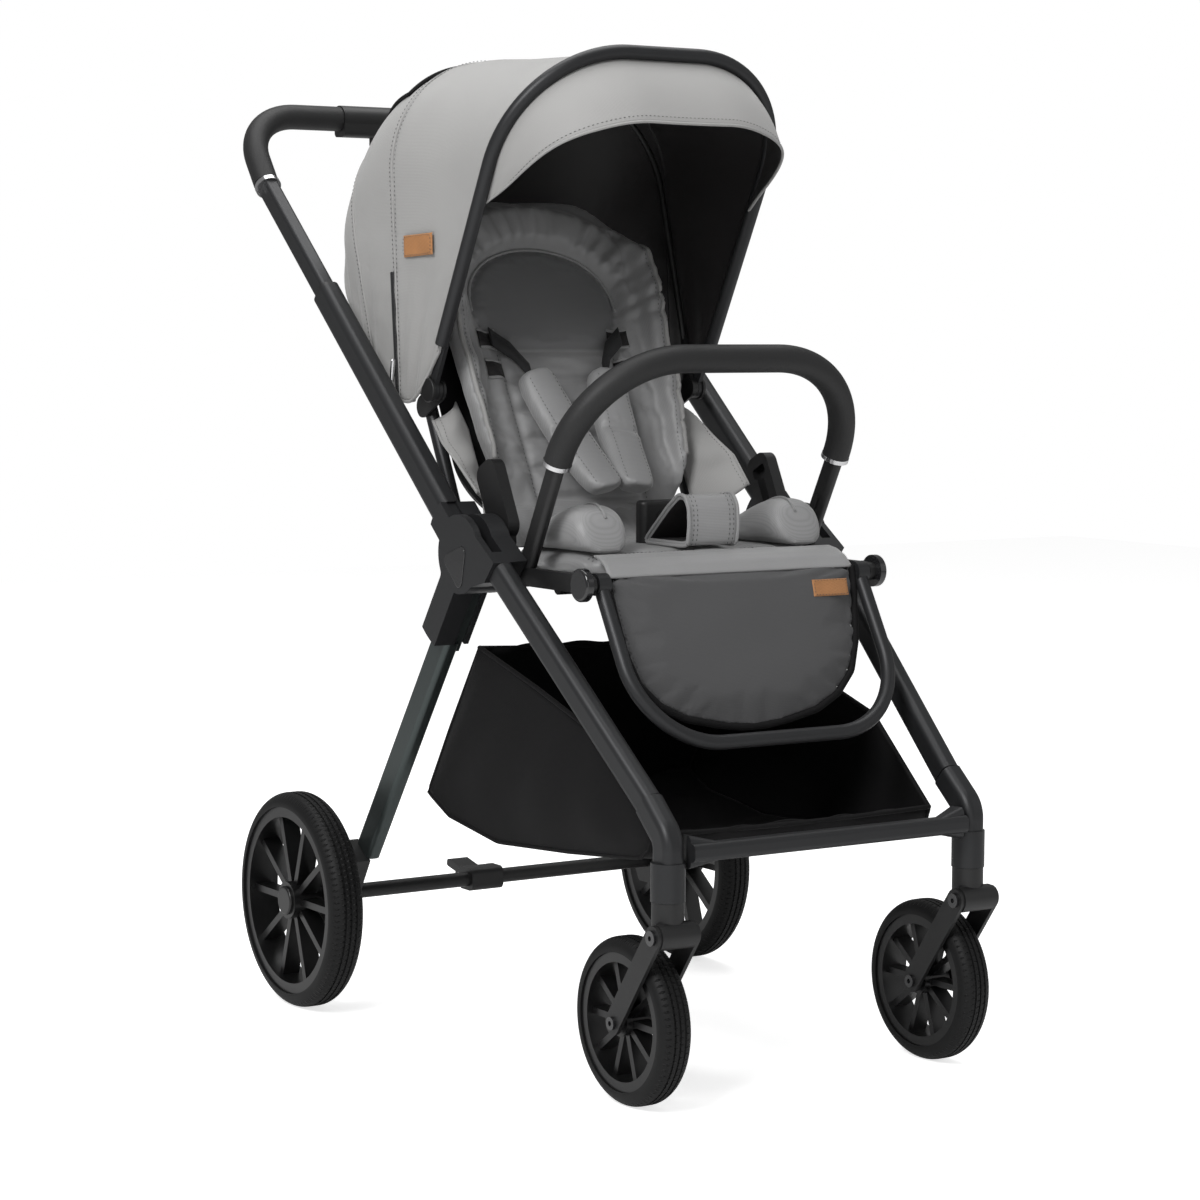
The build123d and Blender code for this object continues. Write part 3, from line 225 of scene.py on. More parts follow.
def bend(pieces, bodies, colour_slot, start, end):
    """Bake every piece's placement into its mesh; `colour_slot`, `start` and `end` are not used."""
    for piece in pieces:
        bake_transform(piece)
    print(len(pieces), "pieces bend between", *bodies, "with", pieces[0].name)


def cloth_area(piece):
    """The area in square metres of a cloth grid's own faces, without the wall behind them."""
    return sum(face.area for face in piece.data.polygons)


# %% [markdown]
# ## Finishes
# Effects that several finishes share are node groups: a grain for paint and moulded plastic, a weave for
# cloth, creases for cloth that has been handled, and a diamond tread for the tyres. Each puts out plain
# values only, and the shader itself stays in the material.

# %% Node group helpers
def new_group(name, inputs, outputs):
    """An empty shader node group with float inputs {name: default} and float outputs [name]."""
    tree = bpy.data.node_groups.new(name, "ShaderNodeTree")
    for label, value in inputs.items():
        socket = tree.interface.new_socket(label, in_out="INPUT", socket_type="NodeSocketFloat")
        socket.default_value = value
    for label in outputs:
        tree.interface.new_socket(label, in_out="OUTPUT", socket_type="NodeSocketFloat")
    return tree, tree.nodes.new("NodeGroupInput"), tree.nodes.new("NodeGroupOutput")


def math_node(tree, operation, a, b=None, c=None):
    """A Math node whose inputs are sockets or numbers; returns its output socket."""
    node = tree.nodes.new("ShaderNodeMath")
    node.operation = operation
    for number, value in enumerate((a, b, c)):
        if value is None:
            continue
        if isinstance(value, (int, float)):
            node.inputs[number].default_value = value
        else:
            tree.links.new(value, node.inputs[number])
    return node.outputs[0]


def noise_node(tree, coordinates, scale, detail=3.0, rough=0.55):
    """A Noise Texture's value socket on the given coordinates."""
    node = tree.nodes.new("ShaderNodeTexNoise")
    node.inputs["Detail"].default_value, node.inputs["Roughness"].default_value = detail, rough
    tree.links.new(coordinates, node.inputs["Vector"])
    if isinstance(scale, (int, float)):
        node.inputs["Scale"].default_value = scale
    else:
        tree.links.new(scale, node.inputs["Scale"])
    return node.outputs[0]


# %% Grain, weave, crease and tread groups
MEAN_WEAVE = 0.64                 # the mean of |sine|, so that the weave doesn't darken the cloth as a whole
TREAD_EDGE = 400.0                # the tread reaches its full depth over 1/400 m of radius


def grain_group():
    """Shade = 1 + contrast * (slow noise - 0.5), Height = fine noise."""
    inputs = {"Slow": 9.0, "Fine": 900.0, "Contrast": 0.2}
    tree, into, out = new_group("surface_grain", inputs, ["Shade", "Height"])
    place = tree.nodes.new("ShaderNodeTexCoord").outputs["Object"]
    slow = math_node(tree, "SUBTRACT", noise_node(tree, place, into.outputs["Slow"], 5), 0.5)
    tree.links.new(math_node(tree, "MULTIPLY_ADD", slow, into.outputs["Contrast"], 1.0), out.inputs["Shade"])
    tree.links.new(noise_node(tree, place, into.outputs["Fine"], 2), out.inputs["Height"])
    return tree


def weave_group():
    """Height = warp and weft threads over the UV map in metres; Shade paints shade into the gaps between
    them.
    """
    tree, into, out = new_group("cloth_weave", {"Threads": 800.0, "Depth": 0.12}, ["Shade", "Height"])
    uv = tree.nodes.new("ShaderNodeUVMap")
    split = tree.nodes.new("ShaderNodeSeparateXYZ")
    tree.links.new(uv.outputs[0], split.inputs[0])
    turns = math_node(tree, "MULTIPLY", into.outputs["Threads"], math.pi)
    threads = []
    for axis in (0, 1):
        wave = math_node(tree, "SINE", math_node(tree, "MULTIPLY", split.outputs[axis], turns))
        threads.append(math_node(tree, "ABSOLUTE", wave))
    height = math_node(tree, "MULTIPLY", math_node(tree, "ADD", *threads), 0.5)
    tree.links.new(height, out.inputs["Height"])
    # painted shade: the colour darkens where the threads' height is low, in the gaps between them
    gap = math_node(tree, "SUBTRACT", height, MEAN_WEAVE)
    tree.links.new(math_node(tree, "MULTIPLY_ADD", gap, into.outputs["Depth"], 1.0), out.inputs["Shade"])
    return tree


def crease_group():
    """Height = long soft ridges: a stretched noise, folded about its middle."""
    tree, into, out = new_group("cloth_crease", {"Scale": 14.0, "Contrast": 0.1}, ["Shade", "Height"])
    place = tree.nodes.new("ShaderNodeTexCoord").outputs["Object"]
    noise = noise_node(tree, place, into.outputs["Scale"], 2, 0.4)
    fold = math_node(tree, "ABSOLUTE", math_node(tree, "SUBTRACT", noise, 0.5))
    tree.links.new(math_node(tree, "SUBTRACT", 0.5, fold), out.inputs["Height"])
    shade = math_node(tree, "SUBTRACT", noise, 0.5)
    tree.links.new(math_node(tree, "MULTIPLY_ADD", shade, into.outputs["Contrast"], 1.0), out.inputs["Shade"])
    return tree


def tread_group():
    """Diamonds round a wheel about an X axle at (Centre Y, Centre Z): where two slanted waves of the angle
    and of x are both high. They fade in above the radius Start."""
    inputs = {"Centre Y": 0.0, "Centre Z": 0.1, "Start": 0.1, "Count": 80.0, "Across": 500.0}
    tree, into, out = new_group("diamond_tread", inputs, ["Height"])
    split = tree.nodes.new("ShaderNodeSeparateXYZ")
    tree.links.new(tree.nodes.new("ShaderNodeTexCoord").outputs["Object"], split.inputs[0])
    y = math_node(tree, "SUBTRACT", split.outputs[1], into.outputs["Centre Y"])
    z = math_node(tree, "SUBTRACT", split.outputs[2], into.outputs["Centre Z"])
    angle = math_node(tree, "MULTIPLY", math_node(tree, "ARCTAN2", z, y), into.outputs["Count"])
    across = math_node(tree, "MULTIPLY", split.outputs[0], into.outputs["Across"])
    waves = []
    for slant in ("ADD", "SUBTRACT"):
        wave = math_node(tree, "SINE", math_node(tree, slant, angle, across))
        waves.append(math_node(tree, "MAXIMUM", wave, 0.0))
    diamond = math_node(tree, "MULTIPLY", *waves)
    squares = [math_node(tree, "MULTIPLY", length, length) for length in (y, z)]
    radius = math_node(tree, "SQRT", math_node(tree, "ADD", *squares))
    fade = math_node(tree, "MULTIPLY", math_node(tree, "SUBTRACT", radius, into.outputs["Start"]), TREAD_EDGE)
    fade = math_node(tree, "MINIMUM", math_node(tree, "MAXIMUM", fade, 0.0), 1.0)
    tree.links.new(math_node(tree, "MULTIPLY", diamond, fade), out.inputs["Height"])
    return tree


GROUPS = {"grain": grain_group(), "weave": weave_group(), "crease": crease_group(), "tread": tread_group()}
print("node groups", sorted(group.name for group in GROUPS.values()))


# %% Finish helper
def finish(name, colour, roughness, effects, metallic=0.0, sheen=0.0, coat=0.0, mask=None, specular=0.5):
    """A material from a base colour and effects [(group, {input: value}, bump distance, bump strength)].
    Every Shade multiplies the colour; every Height bumps the surface. `mask` = (attribute, second colour)."""
    material = bpy.data.materials.new(name)
    material.use_nodes = True
    tree = material.node_tree
    shader = tree.nodes["Principled BSDF"]
    shader.inputs["Metallic"].default_value = metallic
    shader.inputs["Sheen Weight"].default_value = sheen
    shader.inputs["Sheen Roughness"].default_value = 0.4
    shader.inputs["Coat Weight"].default_value = coat
    shader.inputs["Specular IOR Level"].default_value = specular
    shades, normal = [], None
    for group, values, distance, strength in effects:
        node = tree.nodes.new("ShaderNodeGroup")
        node.node_tree = GROUPS[group]
        for label, value in values.items():
            node.inputs[label].default_value = value
        if "Shade" in node.outputs:
            shades.append(node.outputs["Shade"])
        bump = tree.nodes.new("ShaderNodeBump")
        bump.inputs["Distance"].default_value, bump.inputs["Strength"].default_value = distance, strength
        tree.links.new(node.outputs["Height"], bump.inputs["Height"])
        if normal is not None:
            tree.links.new(normal, bump.inputs["Normal"])
        normal = bump.outputs["Normal"]
    tree.links.new(normal, shader.inputs["Normal"])
    base = tree.nodes.new("ShaderNodeMix")
    base.data_type = "RGBA"
    base.inputs["A"].default_value = (*colour, 1)
    base.inputs["B"].default_value = (*(mask[1] if mask else colour), 1)
    base.inputs["Factor"].default_value = 0.0
    if mask:
        attribute = tree.nodes.new("ShaderNodeAttribute")
        attribute.attribute_name = mask[0]
        tree.links.new(attribute.outputs["Fac"], base.inputs["Factor"])
    shade = shades[0]
    for other in shades[1:]:
        shade = math_node(tree, "MULTIPLY", shade, other)
    scaled = tree.nodes.new("ShaderNodeVectorMath")
    scaled.operation = "SCALE"
    tree.links.new(base.outputs["Result"], scaled.inputs[0])
    tree.links.new(shade, scaled.inputs["Scale"])
    tree.links.new(scaled.outputs[0], shader.inputs["Base Color"])
    rough = math_node(tree, "MULTIPLY", shade, roughness)
    tree.links.new(rough, shader.inputs["Roughness"])
    return material


# %% The stroller's finishes
def cloth(name, colour, roughness=0.7, sheen=0.25, threads=700.0, crease=16.0, depth=0.0009, mask=None,
          specular=0.4):
    """Woven polyester: threads with painted shade in the gaps between them, soft creases and a little
    unevenness of colour.
    """
    effects = [("grain", {"Slow": 5.0, "Fine": 500.0, "Contrast": 0.16}, 0.0002, 0.25),
               ("crease", {"Scale": crease, "Contrast": 0.12}, depth, 0.55),
               ("weave", {"Threads": threads, "Depth": 0.30}, 0.00025, 0.5)]
    return finish(name, colour, roughness, effects, sheen=sheen, mask=mask, specular=specular)


def moulded(name, colour, roughness, fine=1400.0, metallic=0.0, bump=0.0001, contrast=0.18, coat=0.0):
    """Moulded plastic or powder-coated metal, by its colour, gloss and grain."""
    effects = [("grain", {"Slow": 12.0, "Fine": fine, "Contrast": contrast}, bump, 0.35)]
    return finish(name, colour, roughness, effects, metallic=metallic, coat=coat)


frame_paint = moulded("frame_paint", (0.0225, 0.0230, 0.0245), 0.44, metallic=0.45, fine=1800, contrast=0.12)
rear_leg_paint = moulded("rear_leg_paint", (0.062, 0.074, 0.073), 0.38, metallic=0.8, fine=1500,
                         contrast=0.12)
black_plastic = moulded("black_plastic", (0.0060, 0.0060, 0.0063), 0.48, fine=1300)
wheel_plastic = moulded("wheel_plastic", (0.0030, 0.0030, 0.0032), 0.36, fine=900, contrast=0.3)
gloss_black = moulded("gloss_black", (0.012, 0.012, 0.013), 0.18, fine=600, bump=0.00003, coat=0.4)
steel = moulded("steel", (0.45, 0.45, 0.46), 0.34, metallic=1.0, fine=700)
chrome = moulded("ring_chrome", (0.62, 0.62, 0.63), 0.16, metallic=1.0, fine=500, bump=0.00002, contrast=0.1)
grip_leather = finish("grip_leather", (0.0130, 0.0130, 0.0134), 0.56, [
    ("grain", {"Slow": 20.0, "Fine": 420.0, "Contrast": 0.22}, 0.0004, 0.5),
    ("crease", {"Scale": 260.0, "Contrast": 0.08}, 0.0004, 0.5)], specular=0.38)
canopy_cloth = cloth("canopy_cloth", (0.305, 0.302, 0.297), crease=9.0, depth=0.0016)
seat_cloth = cloth("seat_cloth", (0.255, 0.255, 0.257), 0.42, 0.35, crease=15.0, depth=0.0022,
                   mask=("panel", (0.150, 0.151, 0.153)))
dark_cloth = cloth("dark_cloth", (0.068, 0.068, 0.070), 0.62, 0.2, crease=8.0, depth=0.0010)
black_cloth = cloth("black_cloth", (0.0048, 0.0046, 0.0050), 0.75, 0.02, crease=7.0, depth=0.0030,
                    specular=0.18)
lining_cloth = cloth("lining_cloth", (0.0150, 0.0136, 0.0140), 0.55, 0.06, crease=9.0, depth=0.0020)
webbing = cloth("webbing", (0.014, 0.014, 0.015), 0.6, 0.1, threads=420.0)
dark_thread = cloth("dark_thread", (0.055, 0.055, 0.057), 0.8, 0.3)
tan_leather = finish("tan_leather", (0.36, 0.165, 0.062), 0.58, [
    ("grain", {"Slow": 40.0, "Fine": 700.0, "Contrast": 0.5}, 0.0004, 0.5)])
floor_finish = moulded("floor_finish", (0.93, 0.93, 0.93), 0.6, fine=60, contrast=0.01)


def tyre_finish(name, centre, start, count, across):
    """Foam rubber with a diamond tread on its crown."""
    tread = {"Centre Y": centre[1], "Centre Z": centre[2], "Start": start, "Count": count, "Across": across}
    return finish(name, (0.0046, 0.0046, 0.0048), 0.56, [
        ("grain", {"Slow": 18.0, "Fine": 800.0, "Contrast": 0.3}, 0.0003, 0.4),
        ("tread", tread, 0.0022, 0.9)], specular=0.25)


print("finishes", len(bpy.data.materials))

# %% The floor, which glows only to the camera so that it melts into the white behind it
FLOOR_GLOW, FLOOR_REACH = 0.7, 6
floor_nodes = floor_finish.node_tree
floor_shader = floor_nodes.nodes["Principled BSDF"]
camera_ray = floor_nodes.nodes.new("ShaderNodeLightPath").outputs["Is Camera Ray"]
glow = math_node(floor_nodes, "MULTIPLY", camera_ray, FLOOR_GLOW)
floor_shader.inputs["Emission Color"].default_value = (1, 1, 1, 1)
floor_nodes.links.new(glow, floor_shader.inputs["Emission Strength"])
floor_x, floor_y = np.meshgrid(*[np.linspace(-FLOOR_REACH, FLOOR_REACH, 5)] * 2)
floor = grid_piece("floor", np.stack([floor_x, floor_y, 0 * floor_x], -1), [floor_finish])
print("floor", 2 * FLOOR_REACH, "m across")

# %% [markdown]
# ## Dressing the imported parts
# The hard parts have the right shape already, so each only takes its finish. A table from the finish to
# the parts that wear it reads like a paint shop's list.

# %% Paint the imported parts
PAINT = {
    frame_paint: ["hub_castings", "front_legs", "front_castings", "front_beam", "handle_arms", "upper_tubes",
                  "canopy_rim_hoop", "legrest_frame", "backrest_frame"],
    rear_leg_paint: ["rear_legs"],
    black_plastic: ["adapter_sockets", "seat_base_frame", "recline_plates", "bumper_posts",
                    "telescope_collars", "handle_cover", "fold_trigger", "wheel_brackets", "brake_housing",
                    "brake_pedal", "backrest_board", "canopy_pivots", "canopy_mid_hoop", "harness_buckle",
                    "buckle_button", "rear_axle"],
    wheel_plastic: [],
    gloss_black: ["hub_caps", "legrest_knobs"],
    steel: ["hinge_pins", "rear_axle_pins"],
    chrome: ["grip_rings", "bumper_plugs"],
    grip_leather: ["handle_grip", "bumper_bar"],
}
TREAD_ROUND, TREAD_ACROSS, TREAD_FROM = {"rear": 110, "front": 78}, 420, 0.93
for side in ("left", "right"):
    PAINT[black_plastic] += [f"caster_knuckle_{side}", f"caster_fork_{side}", f"bumper_button_{side}"]
    PAINT[wheel_plastic] += [f"rear_wheel_{side}", f"front_wheel_{side}", f"rear_hub_cap_{side}"]
    PAINT[gloss_black] += [f"caster_bolts_{side}"]
    for wheel, count in TREAD_ROUND.items():
        low, high = (np.array(corner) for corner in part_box(f"{wheel}_tyre_{side}"))
        centre, radius = (low + high) / 2, (high[2] - low[2]) / 2
        tread = tyre_finish(f"{wheel}_tyre_{side}", centre, radius * TREAD_FROM, count, TREAD_ACROSS)
        PAINT[tread] = [f"{wheel}_tyre_{side}"]
for material, nodes in PAINT.items():
    for node in nodes:
        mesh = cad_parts[node].data
        mesh.materials.clear()
        mesh.materials.append(material)
print("painted", sum(len(nodes) for nodes in PAINT.values()), "packed parts")

# %% [markdown]
# ## The canopy's cloth
# The hood is one skin stretched from the rim hoop, over a sewn seam, to a hem behind the seat. Each
# cross-section is the same kind of U with rounded shoulders, only leaning and shrinking as it goes back,
# so the skin is a function of two numbers: u runs across the hood from side to side, v runs from front
# to back through a list of sections.

# %% Hood sections
MM = 0.001
PIVOT_Y, PIVOT_Z = 58, 735        # the canopy's pins, in millimetres
RIM_LEAN = 118.0                  # degrees that the rim's plane leans, counted from straight back
HOOD_COLUMNS = 181
REAR_BEND = ("backrest", "canopy_mid"), "canopy_fabric", (0, 0.27, 0.90), (0, 0.12, 0.93)
FRONT_BEND = ("canopy_mid", "canopy_rim"), "canopy_fabric", (0, 0.13, 0.90), (0, -0.03, 0.86)


def hood_outline(u, half, height, shoulder):
    """(x, climb) across a U: straight sides, elliptical shoulders `shoulder` wide, and a flat top.
    u from -1 to 1 is the share of the way across, measured along the U."""
    t = np.linspace(0, np.pi / 2, 40)
    drop = min(shoulder, height * 0.98)
    x = np.concatenate([[half], half - shoulder + shoulder * np.cos(t), [0]])
    climb = np.concatenate([[0], height - drop + drop * np.sin(t), [height]])
    walked = np.concatenate([[0], np.cumsum(np.hypot(np.diff(x), np.diff(climb)))])
    want = (1 - np.abs(u)) * walked[-1]
    return np.sign(u) * np.interp(want, walked, x), np.interp(want, walked, climb)


def hood_section(u, y, z, top_y, top_z, half, shoulder):
    """One U from its feet at (y, z) to its top at (top_y, top_z), in metres, from sizes in millimetres."""
    height = math.hypot(top_y - y, top_z - z)
    x, climb = hood_outline(u, half, height, shoulder)
    share = climb / height
    return np.stack([x, y + (top_y - y) * share, z + (top_z - z) * share], -1) * MM


def rim_at(climb):
    """The (y, z) point in millimetres that is `climb` up the rim hoop's plane from the pivots."""
    lean = math.radians(RIM_LEAN)
    return PIVOT_Y + climb * math.cos(lean), PIVOT_Z + climb * math.sin(lean)


SECTIONS = [                      # feet y, z, top y, z, half width, shoulder: front to back
    (*rim_at(50), *rim_at(425), 186.5, 140),
    (84, 727, 15, 1117, 189, 138),
    (118, 722, 146, 1118, 191, 134),
    (160, 744, 236, 1084, 191, 128),
    (206, 785, 302, 1010, 189, 124),
    (244, 818, 328, 938, 183, 120),
    (268, 838, 334, 894, 172, 118),
    (276, 842, 320, 862, 156, 112),
]
SEAM_AT = 2                       # the number of the sewn seam's section


def hood_surface(u, v):
    """Points of the hood at u across and v along the list of sections, with a cubic between sections."""
    stack = np.stack([hood_section(u, *section) for section in SECTIONS])
    v = np.clip(np.asarray(v, float), 0, len(SECTIONS) - 1)
    k = np.clip(v.astype(int), 0, len(SECTIONS) - 2)
    t = (v - k)[:, None, None]
    a, b = stack[np.maximum(k - 1, 0)], stack[k]
    c, d = stack[k + 1], stack[np.minimum(k + 2, len(SECTIONS) - 1)]
    return b + 0.5 * t * (c - a + t * (2 * a - 5 * b + 4 * c - d + t * (3 * (b - c) + d - a)))


def hood_normals(points):
    """Unit normals of an (n, m, 3) grid, facing out of the hood."""
    normal = np.cross(np.gradient(points, axis=1), np.gradient(points, axis=0))
    normal /= np.linalg.norm(normal, axis=2, keepdims=True) + 1e-12
    outward = points - np.array([0, 0.1, 0.85])
    return normal * np.sign((normal * outward).sum(2, keepdims=True))


def hood_cloth(name, first, last, rows, slack):
    """A stretch of the hood from section `first` to `last`, slack between its seams and rippled near them."""
    u = np.linspace(-1, 1, HOOD_COLUMNS)
    v = np.linspace(first, last, rows)
    points = hood_surface(u, v)
    across, along_v = np.meshgrid(u, v)
    middle = np.sin(np.pi * (along_v - first) / (last - first))
    ripple = np.sin(across * 61 + 5 * np.sin(across * 7)) * np.exp(-(1 - middle) * 0.5)
    low_side = smooth(0.55, 1.0, np.abs(across))
    tuck = np.sin(along_v * 9 + across * 14) * low_side * middle
    shift = -slack * middle + 0.0006 * ripple * (1 - middle) + 0.0024 * tuck
    points = points + hood_normals(points) * shift[..., None]
    size = (0.90, 0.30 * (last - first) / 2)
    return grid_piece(name, points, [canopy_cloth, lining_cloth], uv_size=size, thickness=0.0016, inner=1)


front_hood = hood_cloth("hood_front", 0, SEAM_AT, 60, 0.0025)
rear_hood = hood_cloth("hood_rear", SEAM_AT, len(SECTIONS) - 1, 110, 0.0)
for piece, node, bending, width in ((front_hood, "canopy_front_cover", FRONT_BEND, 0.98),
                                    (rear_hood, "canopy_rear_cover", REAR_BEND, 0.86)):
    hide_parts(node)
    bend([piece], *bending)
    length = cloth_area(piece) / width
    print(piece.name, "cut", width, "by", round(length, 3), "m")

# %% [markdown]
# ## Trim on the hood
# A hem, two rows of stitches each side of the seam, a zip with a puller, a leather tag with no lettering,
# a mesh window and the sun visor inside the rim.

# %% Lines on the hood
LAST = len(SECTIONS) - 1          # the number of the last section, at the back hem
LINE_ROWS = 141


def hood_line(u, v, lift=0.0012):
    """A path lying `lift` above the hood along matching u and v arrays, and the normals beneath it."""
    sheet = hood_surface(np.linspace(-1, 1, HOOD_COLUMNS), np.linspace(0, LAST, LINE_ROWS))
    normal = hood_normals(sheet)
    i = np.clip(np.asarray(v) / LAST * (LINE_ROWS - 1), 0, LINE_ROWS - 1.001)
    j = np.clip((np.asarray(u) + 1) / 2 * (HOOD_COLUMNS - 1), 0, HOOD_COLUMNS - 1.001)
    a, b = i.astype(int), j.astype(int)
    s, t = (i - a)[:, None], (j - b)[:, None]
    place = (1 - s) * ((1 - t) * sheet[a, b] + t * sheet[a, b + 1]) + s * (
        (1 - t) * sheet[a + 1, b] + t * sheet[a + 1, b + 1])
    return place + lift * normal[a, b], normal[a, b]


across = np.linspace(-0.995, 0.995, 260)


def hood_row(v, lift=0.0012):
    """A path across the whole hood at one v."""
    return hood_line(across, np.full(len(across), v), lift)[0]


front_trim, rear_trim = [], []
for number, v in enumerate((SEAM_AT - 0.07, SEAM_AT + 0.05, 0.17, SEAM_AT + 1.5, LAST - 0.15)):
    trim = front_trim if v < SEAM_AT else rear_trim
    trim.append(stitches(f"hood_stitches_{number}", hood_row(v), dark_thread))
for number, v in enumerate((SEAM_AT, SEAM_AT + 1.45)):
    rear_trim.append(tube(f"hood_seam_{number}", hood_row(v, 0.0002), 0.0012, canopy_cloth))
rear_trim.append(tube("hood_hem", hood_row(LAST, 0.0), 0.0028, black_cloth))

# %% Side hems, from the rim to the back
for side, word in reversed(SIDES):
    for number, (low, high, trim) in enumerate(((0.0, SEAM_AT, front_trim), (SEAM_AT, LAST, rear_trim))):
        path = hood_line(np.full(60, side * 0.998), np.linspace(low, high, 60), 0)[0]
        trim.append(tube(f"hood_side_hem_{word}_{number}", path, 0.0020, canopy_cloth))

# %% Zip, its teeth and its puller
zip_u = np.linspace(-0.99, -0.72, 90)
zip_v = np.full(90, SEAM_AT + 0.10)
zip_path, zip_normal = hood_line(zip_u, zip_v, 0.0006)
zip_tape = tube("zip_tape", zip_path, 0.0032, webbing, flat=0.35)
teeth_path = hood_line(zip_u, zip_v, 0.0020)[0]
zip_teeth = stitches("zip_teeth", teeth_path, gloss_black, 0.0024, 0.0016, 0.0011)
PULLER_AT = 26                    # the point of the zip's path where the puller stands
puller_top = zip_path[PULLER_AT] + zip_normal[PULLER_AT] * 0.004
puller_line = puller_top + np.linspace(0, 1, 14)[:, None] * np.array([-0.002, 0.001, -0.026])
puller_width = 0.0022 + 0.0012 * np.sin(np.linspace(0.4, np.pi, 14))
zip_puller = tube("zip_puller", puller_line, puller_width, chrome, around=12, flat=0.45)
rear_trim += [zip_tape, zip_teeth, zip_puller]
bend(rear_trim, *REAR_BEND)
bend(front_trim, *FRONT_BEND)


# %% Leather tags
def tag(name, centre, along_u, along_v, normal, width, height):
    """A thin leather tag: a rounded rectangle, slightly pillowed, with its stitches just inside its edge."""
    s = np.linspace(-1, 1, 41)
    x, y = np.meshgrid(s, s)
    edge = np.clip(1 - np.maximum(np.abs(x), np.abs(y)), 0, 1)
    lift = 0.0016 * (1 - np.exp(-edge * 14)) + 0.0002 * np.sin(x * 23) * np.sin(y * 17)
    points = centre + x[..., None] * along_u * width / 2 + y[..., None] * along_v * height / 2
    piece = grid_piece(name, points + lift[..., None] * normal, [tan_leather], uv_size=(width, height))
    if np.dot(np.cross(along_u, along_v), normal) < 0:
        piece.data.flip_normals()
    t = np.linspace(0, 2 * np.pi, 120)
    c, d = np.cos(t), np.sin(t)
    square = np.stack([np.sign(c) * np.abs(c) ** 0.25, np.sign(d) * np.abs(d) ** 0.25], -1) * (0.94, 0.86)
    ring = centre + square[:, :1] * along_u * width / 2 + square[:, 1:] * along_v * height / 2
    ring = ring + normal * 0.0022
    thread = stitches(name + "_stitches", ring, dark_thread, 0.0040, 0.0026, 0.0004)
    return piece, thread


tag_u, tag_v = -0.66, 1.28
tag_centre, tag_normal = (value[0] for value in hood_line([tag_u], [tag_v], 0.0010))
ahead = hood_line([tag_u], [tag_v + 0.05])[0][0] - hood_line([tag_u], [tag_v - 0.05])[0][0]
ahead /= np.linalg.norm(ahead)
upward = np.cross(ahead, tag_normal)
upward *= np.sign(upward[2])
leather_bend = FRONT_BEND[0], "grip_leather", *FRONT_BEND[2:]
bend(tag("hood_tag", tag_centre, ahead, upward, tag_normal, 0.064, 0.025), *leather_bend)

# %% Mesh window high at the back, and its binding
window_u, window_v = np.linspace(-0.30, 0.30, 60), np.linspace(SEAM_AT + 0.25, SEAM_AT + 1.25, 30)
window = hood_surface(window_u, window_v)
window = window + hood_normals(window) * 0.0022
window_piece = grid_piece("hood_window", window, [webbing], uv_size=(0.26, 0.1), thickness=0.0008)
loop_u = np.concatenate([window_u, np.full(30, 0.30), window_u[::-1], np.full(30, -0.30)])
loop_v = np.concatenate([np.full(60, window_v[0]), window_v, np.full(60, window_v[-1]), window_v[::-1]])
window_binding = tube("hood_window_binding", hood_line(loop_u, loop_v, 0.0022)[0], 0.0026, black_cloth)
bend([window_piece, window_binding], *REAR_BEND)

# %% The sun visor inside the rim
VISOR_HALF, VISOR_DEPTH = 0.63, 0.096   # its share of the rim each side of the middle, and its depth there
visor_u, visor_w = np.linspace(-VISOR_HALF, VISOR_HALF, 141), np.linspace(0, 1, 26)
rim_edge = hood_section(visor_u, *SECTIONS[0])
lean = math.radians(RIM_LEAN)
forward = np.array([0, -math.sin(lean), math.cos(lean)])
down_plane = -np.array([0, math.cos(lean), math.sin(lean)])
sideways = smooth(0.20, 0.62, np.abs(visor_u))
inward = np.stack([-np.sign(visor_u) * sideways, 0 * visor_u, 0 * visor_u], -1)
inward += (1 - sideways)[:, None] * down_plane
depth = VISOR_DEPTH * np.clip(1 - (np.abs(visor_u) / VISOR_HALF) ** 2.6, 0, 1)
drape = forward[None] * 0.93 + inward * 0.38
reach = depth[None, :, None] * visor_w[:, None, None]
belly = 0.007 * np.sin(np.pi * visor_w)[:, None, None] * (depth / VISOR_DEPTH)[None, :, None]
visor_points = rim_edge[None] + inward[None] * 0.006 + reach * drape[None] - belly * inward[None]
visor = grid_piece("sun_visor", visor_points[::-1], [canopy_cloth, lining_cloth], uv_size=(0.6, 0.1),
                   thickness=0.0016, inner=1)
visor_edge = tube("sun_visor_hem", visor_points[-1], 0.0016, canopy_cloth)
visor_stitch = stitches("sun_visor_stitches", visor_points[-3] + forward * 0.0014, dark_thread)
fasten([visor, visor_edge, visor_stitch], "canopy_rim")

# %% [markdown]
# ## Padded pieces
# Each pad starts as a slightly small closed form, in its own frame of x across, t along and n outwards.
# It is remeshed, blown up by Blender's cloth simulation with its seams pinned, and then sewn: the
# channels and puckers are pressed in along the seams. Threads and piping are laid on the result.

# %% Pad frames and the padding helpers
class Pad:
    """A pad's frame: an origin, the direction t along it and the outward direction n; x is the width."""

    def __init__(self, origin, angle, flip=1):
        """`angle` is t's climb in degrees from straight back; a flip of -1 turns n to the other side."""
        lean = math.radians(angle)
        self.origin = np.array(origin)
        self.along = np.array([0, math.cos(lean), math.sin(lean)])
        self.out = flip * np.array([0, -math.sin(lean), math.cos(lean)])

    def place(self, x, t, n):
        """The point at x, t, n."""
        x, t, n = np.broadcast_arrays(x, t, n)
        across = np.array([1.0, 0, 0])
        return self.origin + x[..., None] * across + t[..., None] * self.along + n[..., None] * self.out

    def read(self, points):
        """x, t and n of an (k, 3) array of points."""
        away = points - self.origin
        return away[:, 0], away @ self.along, away @ self.out


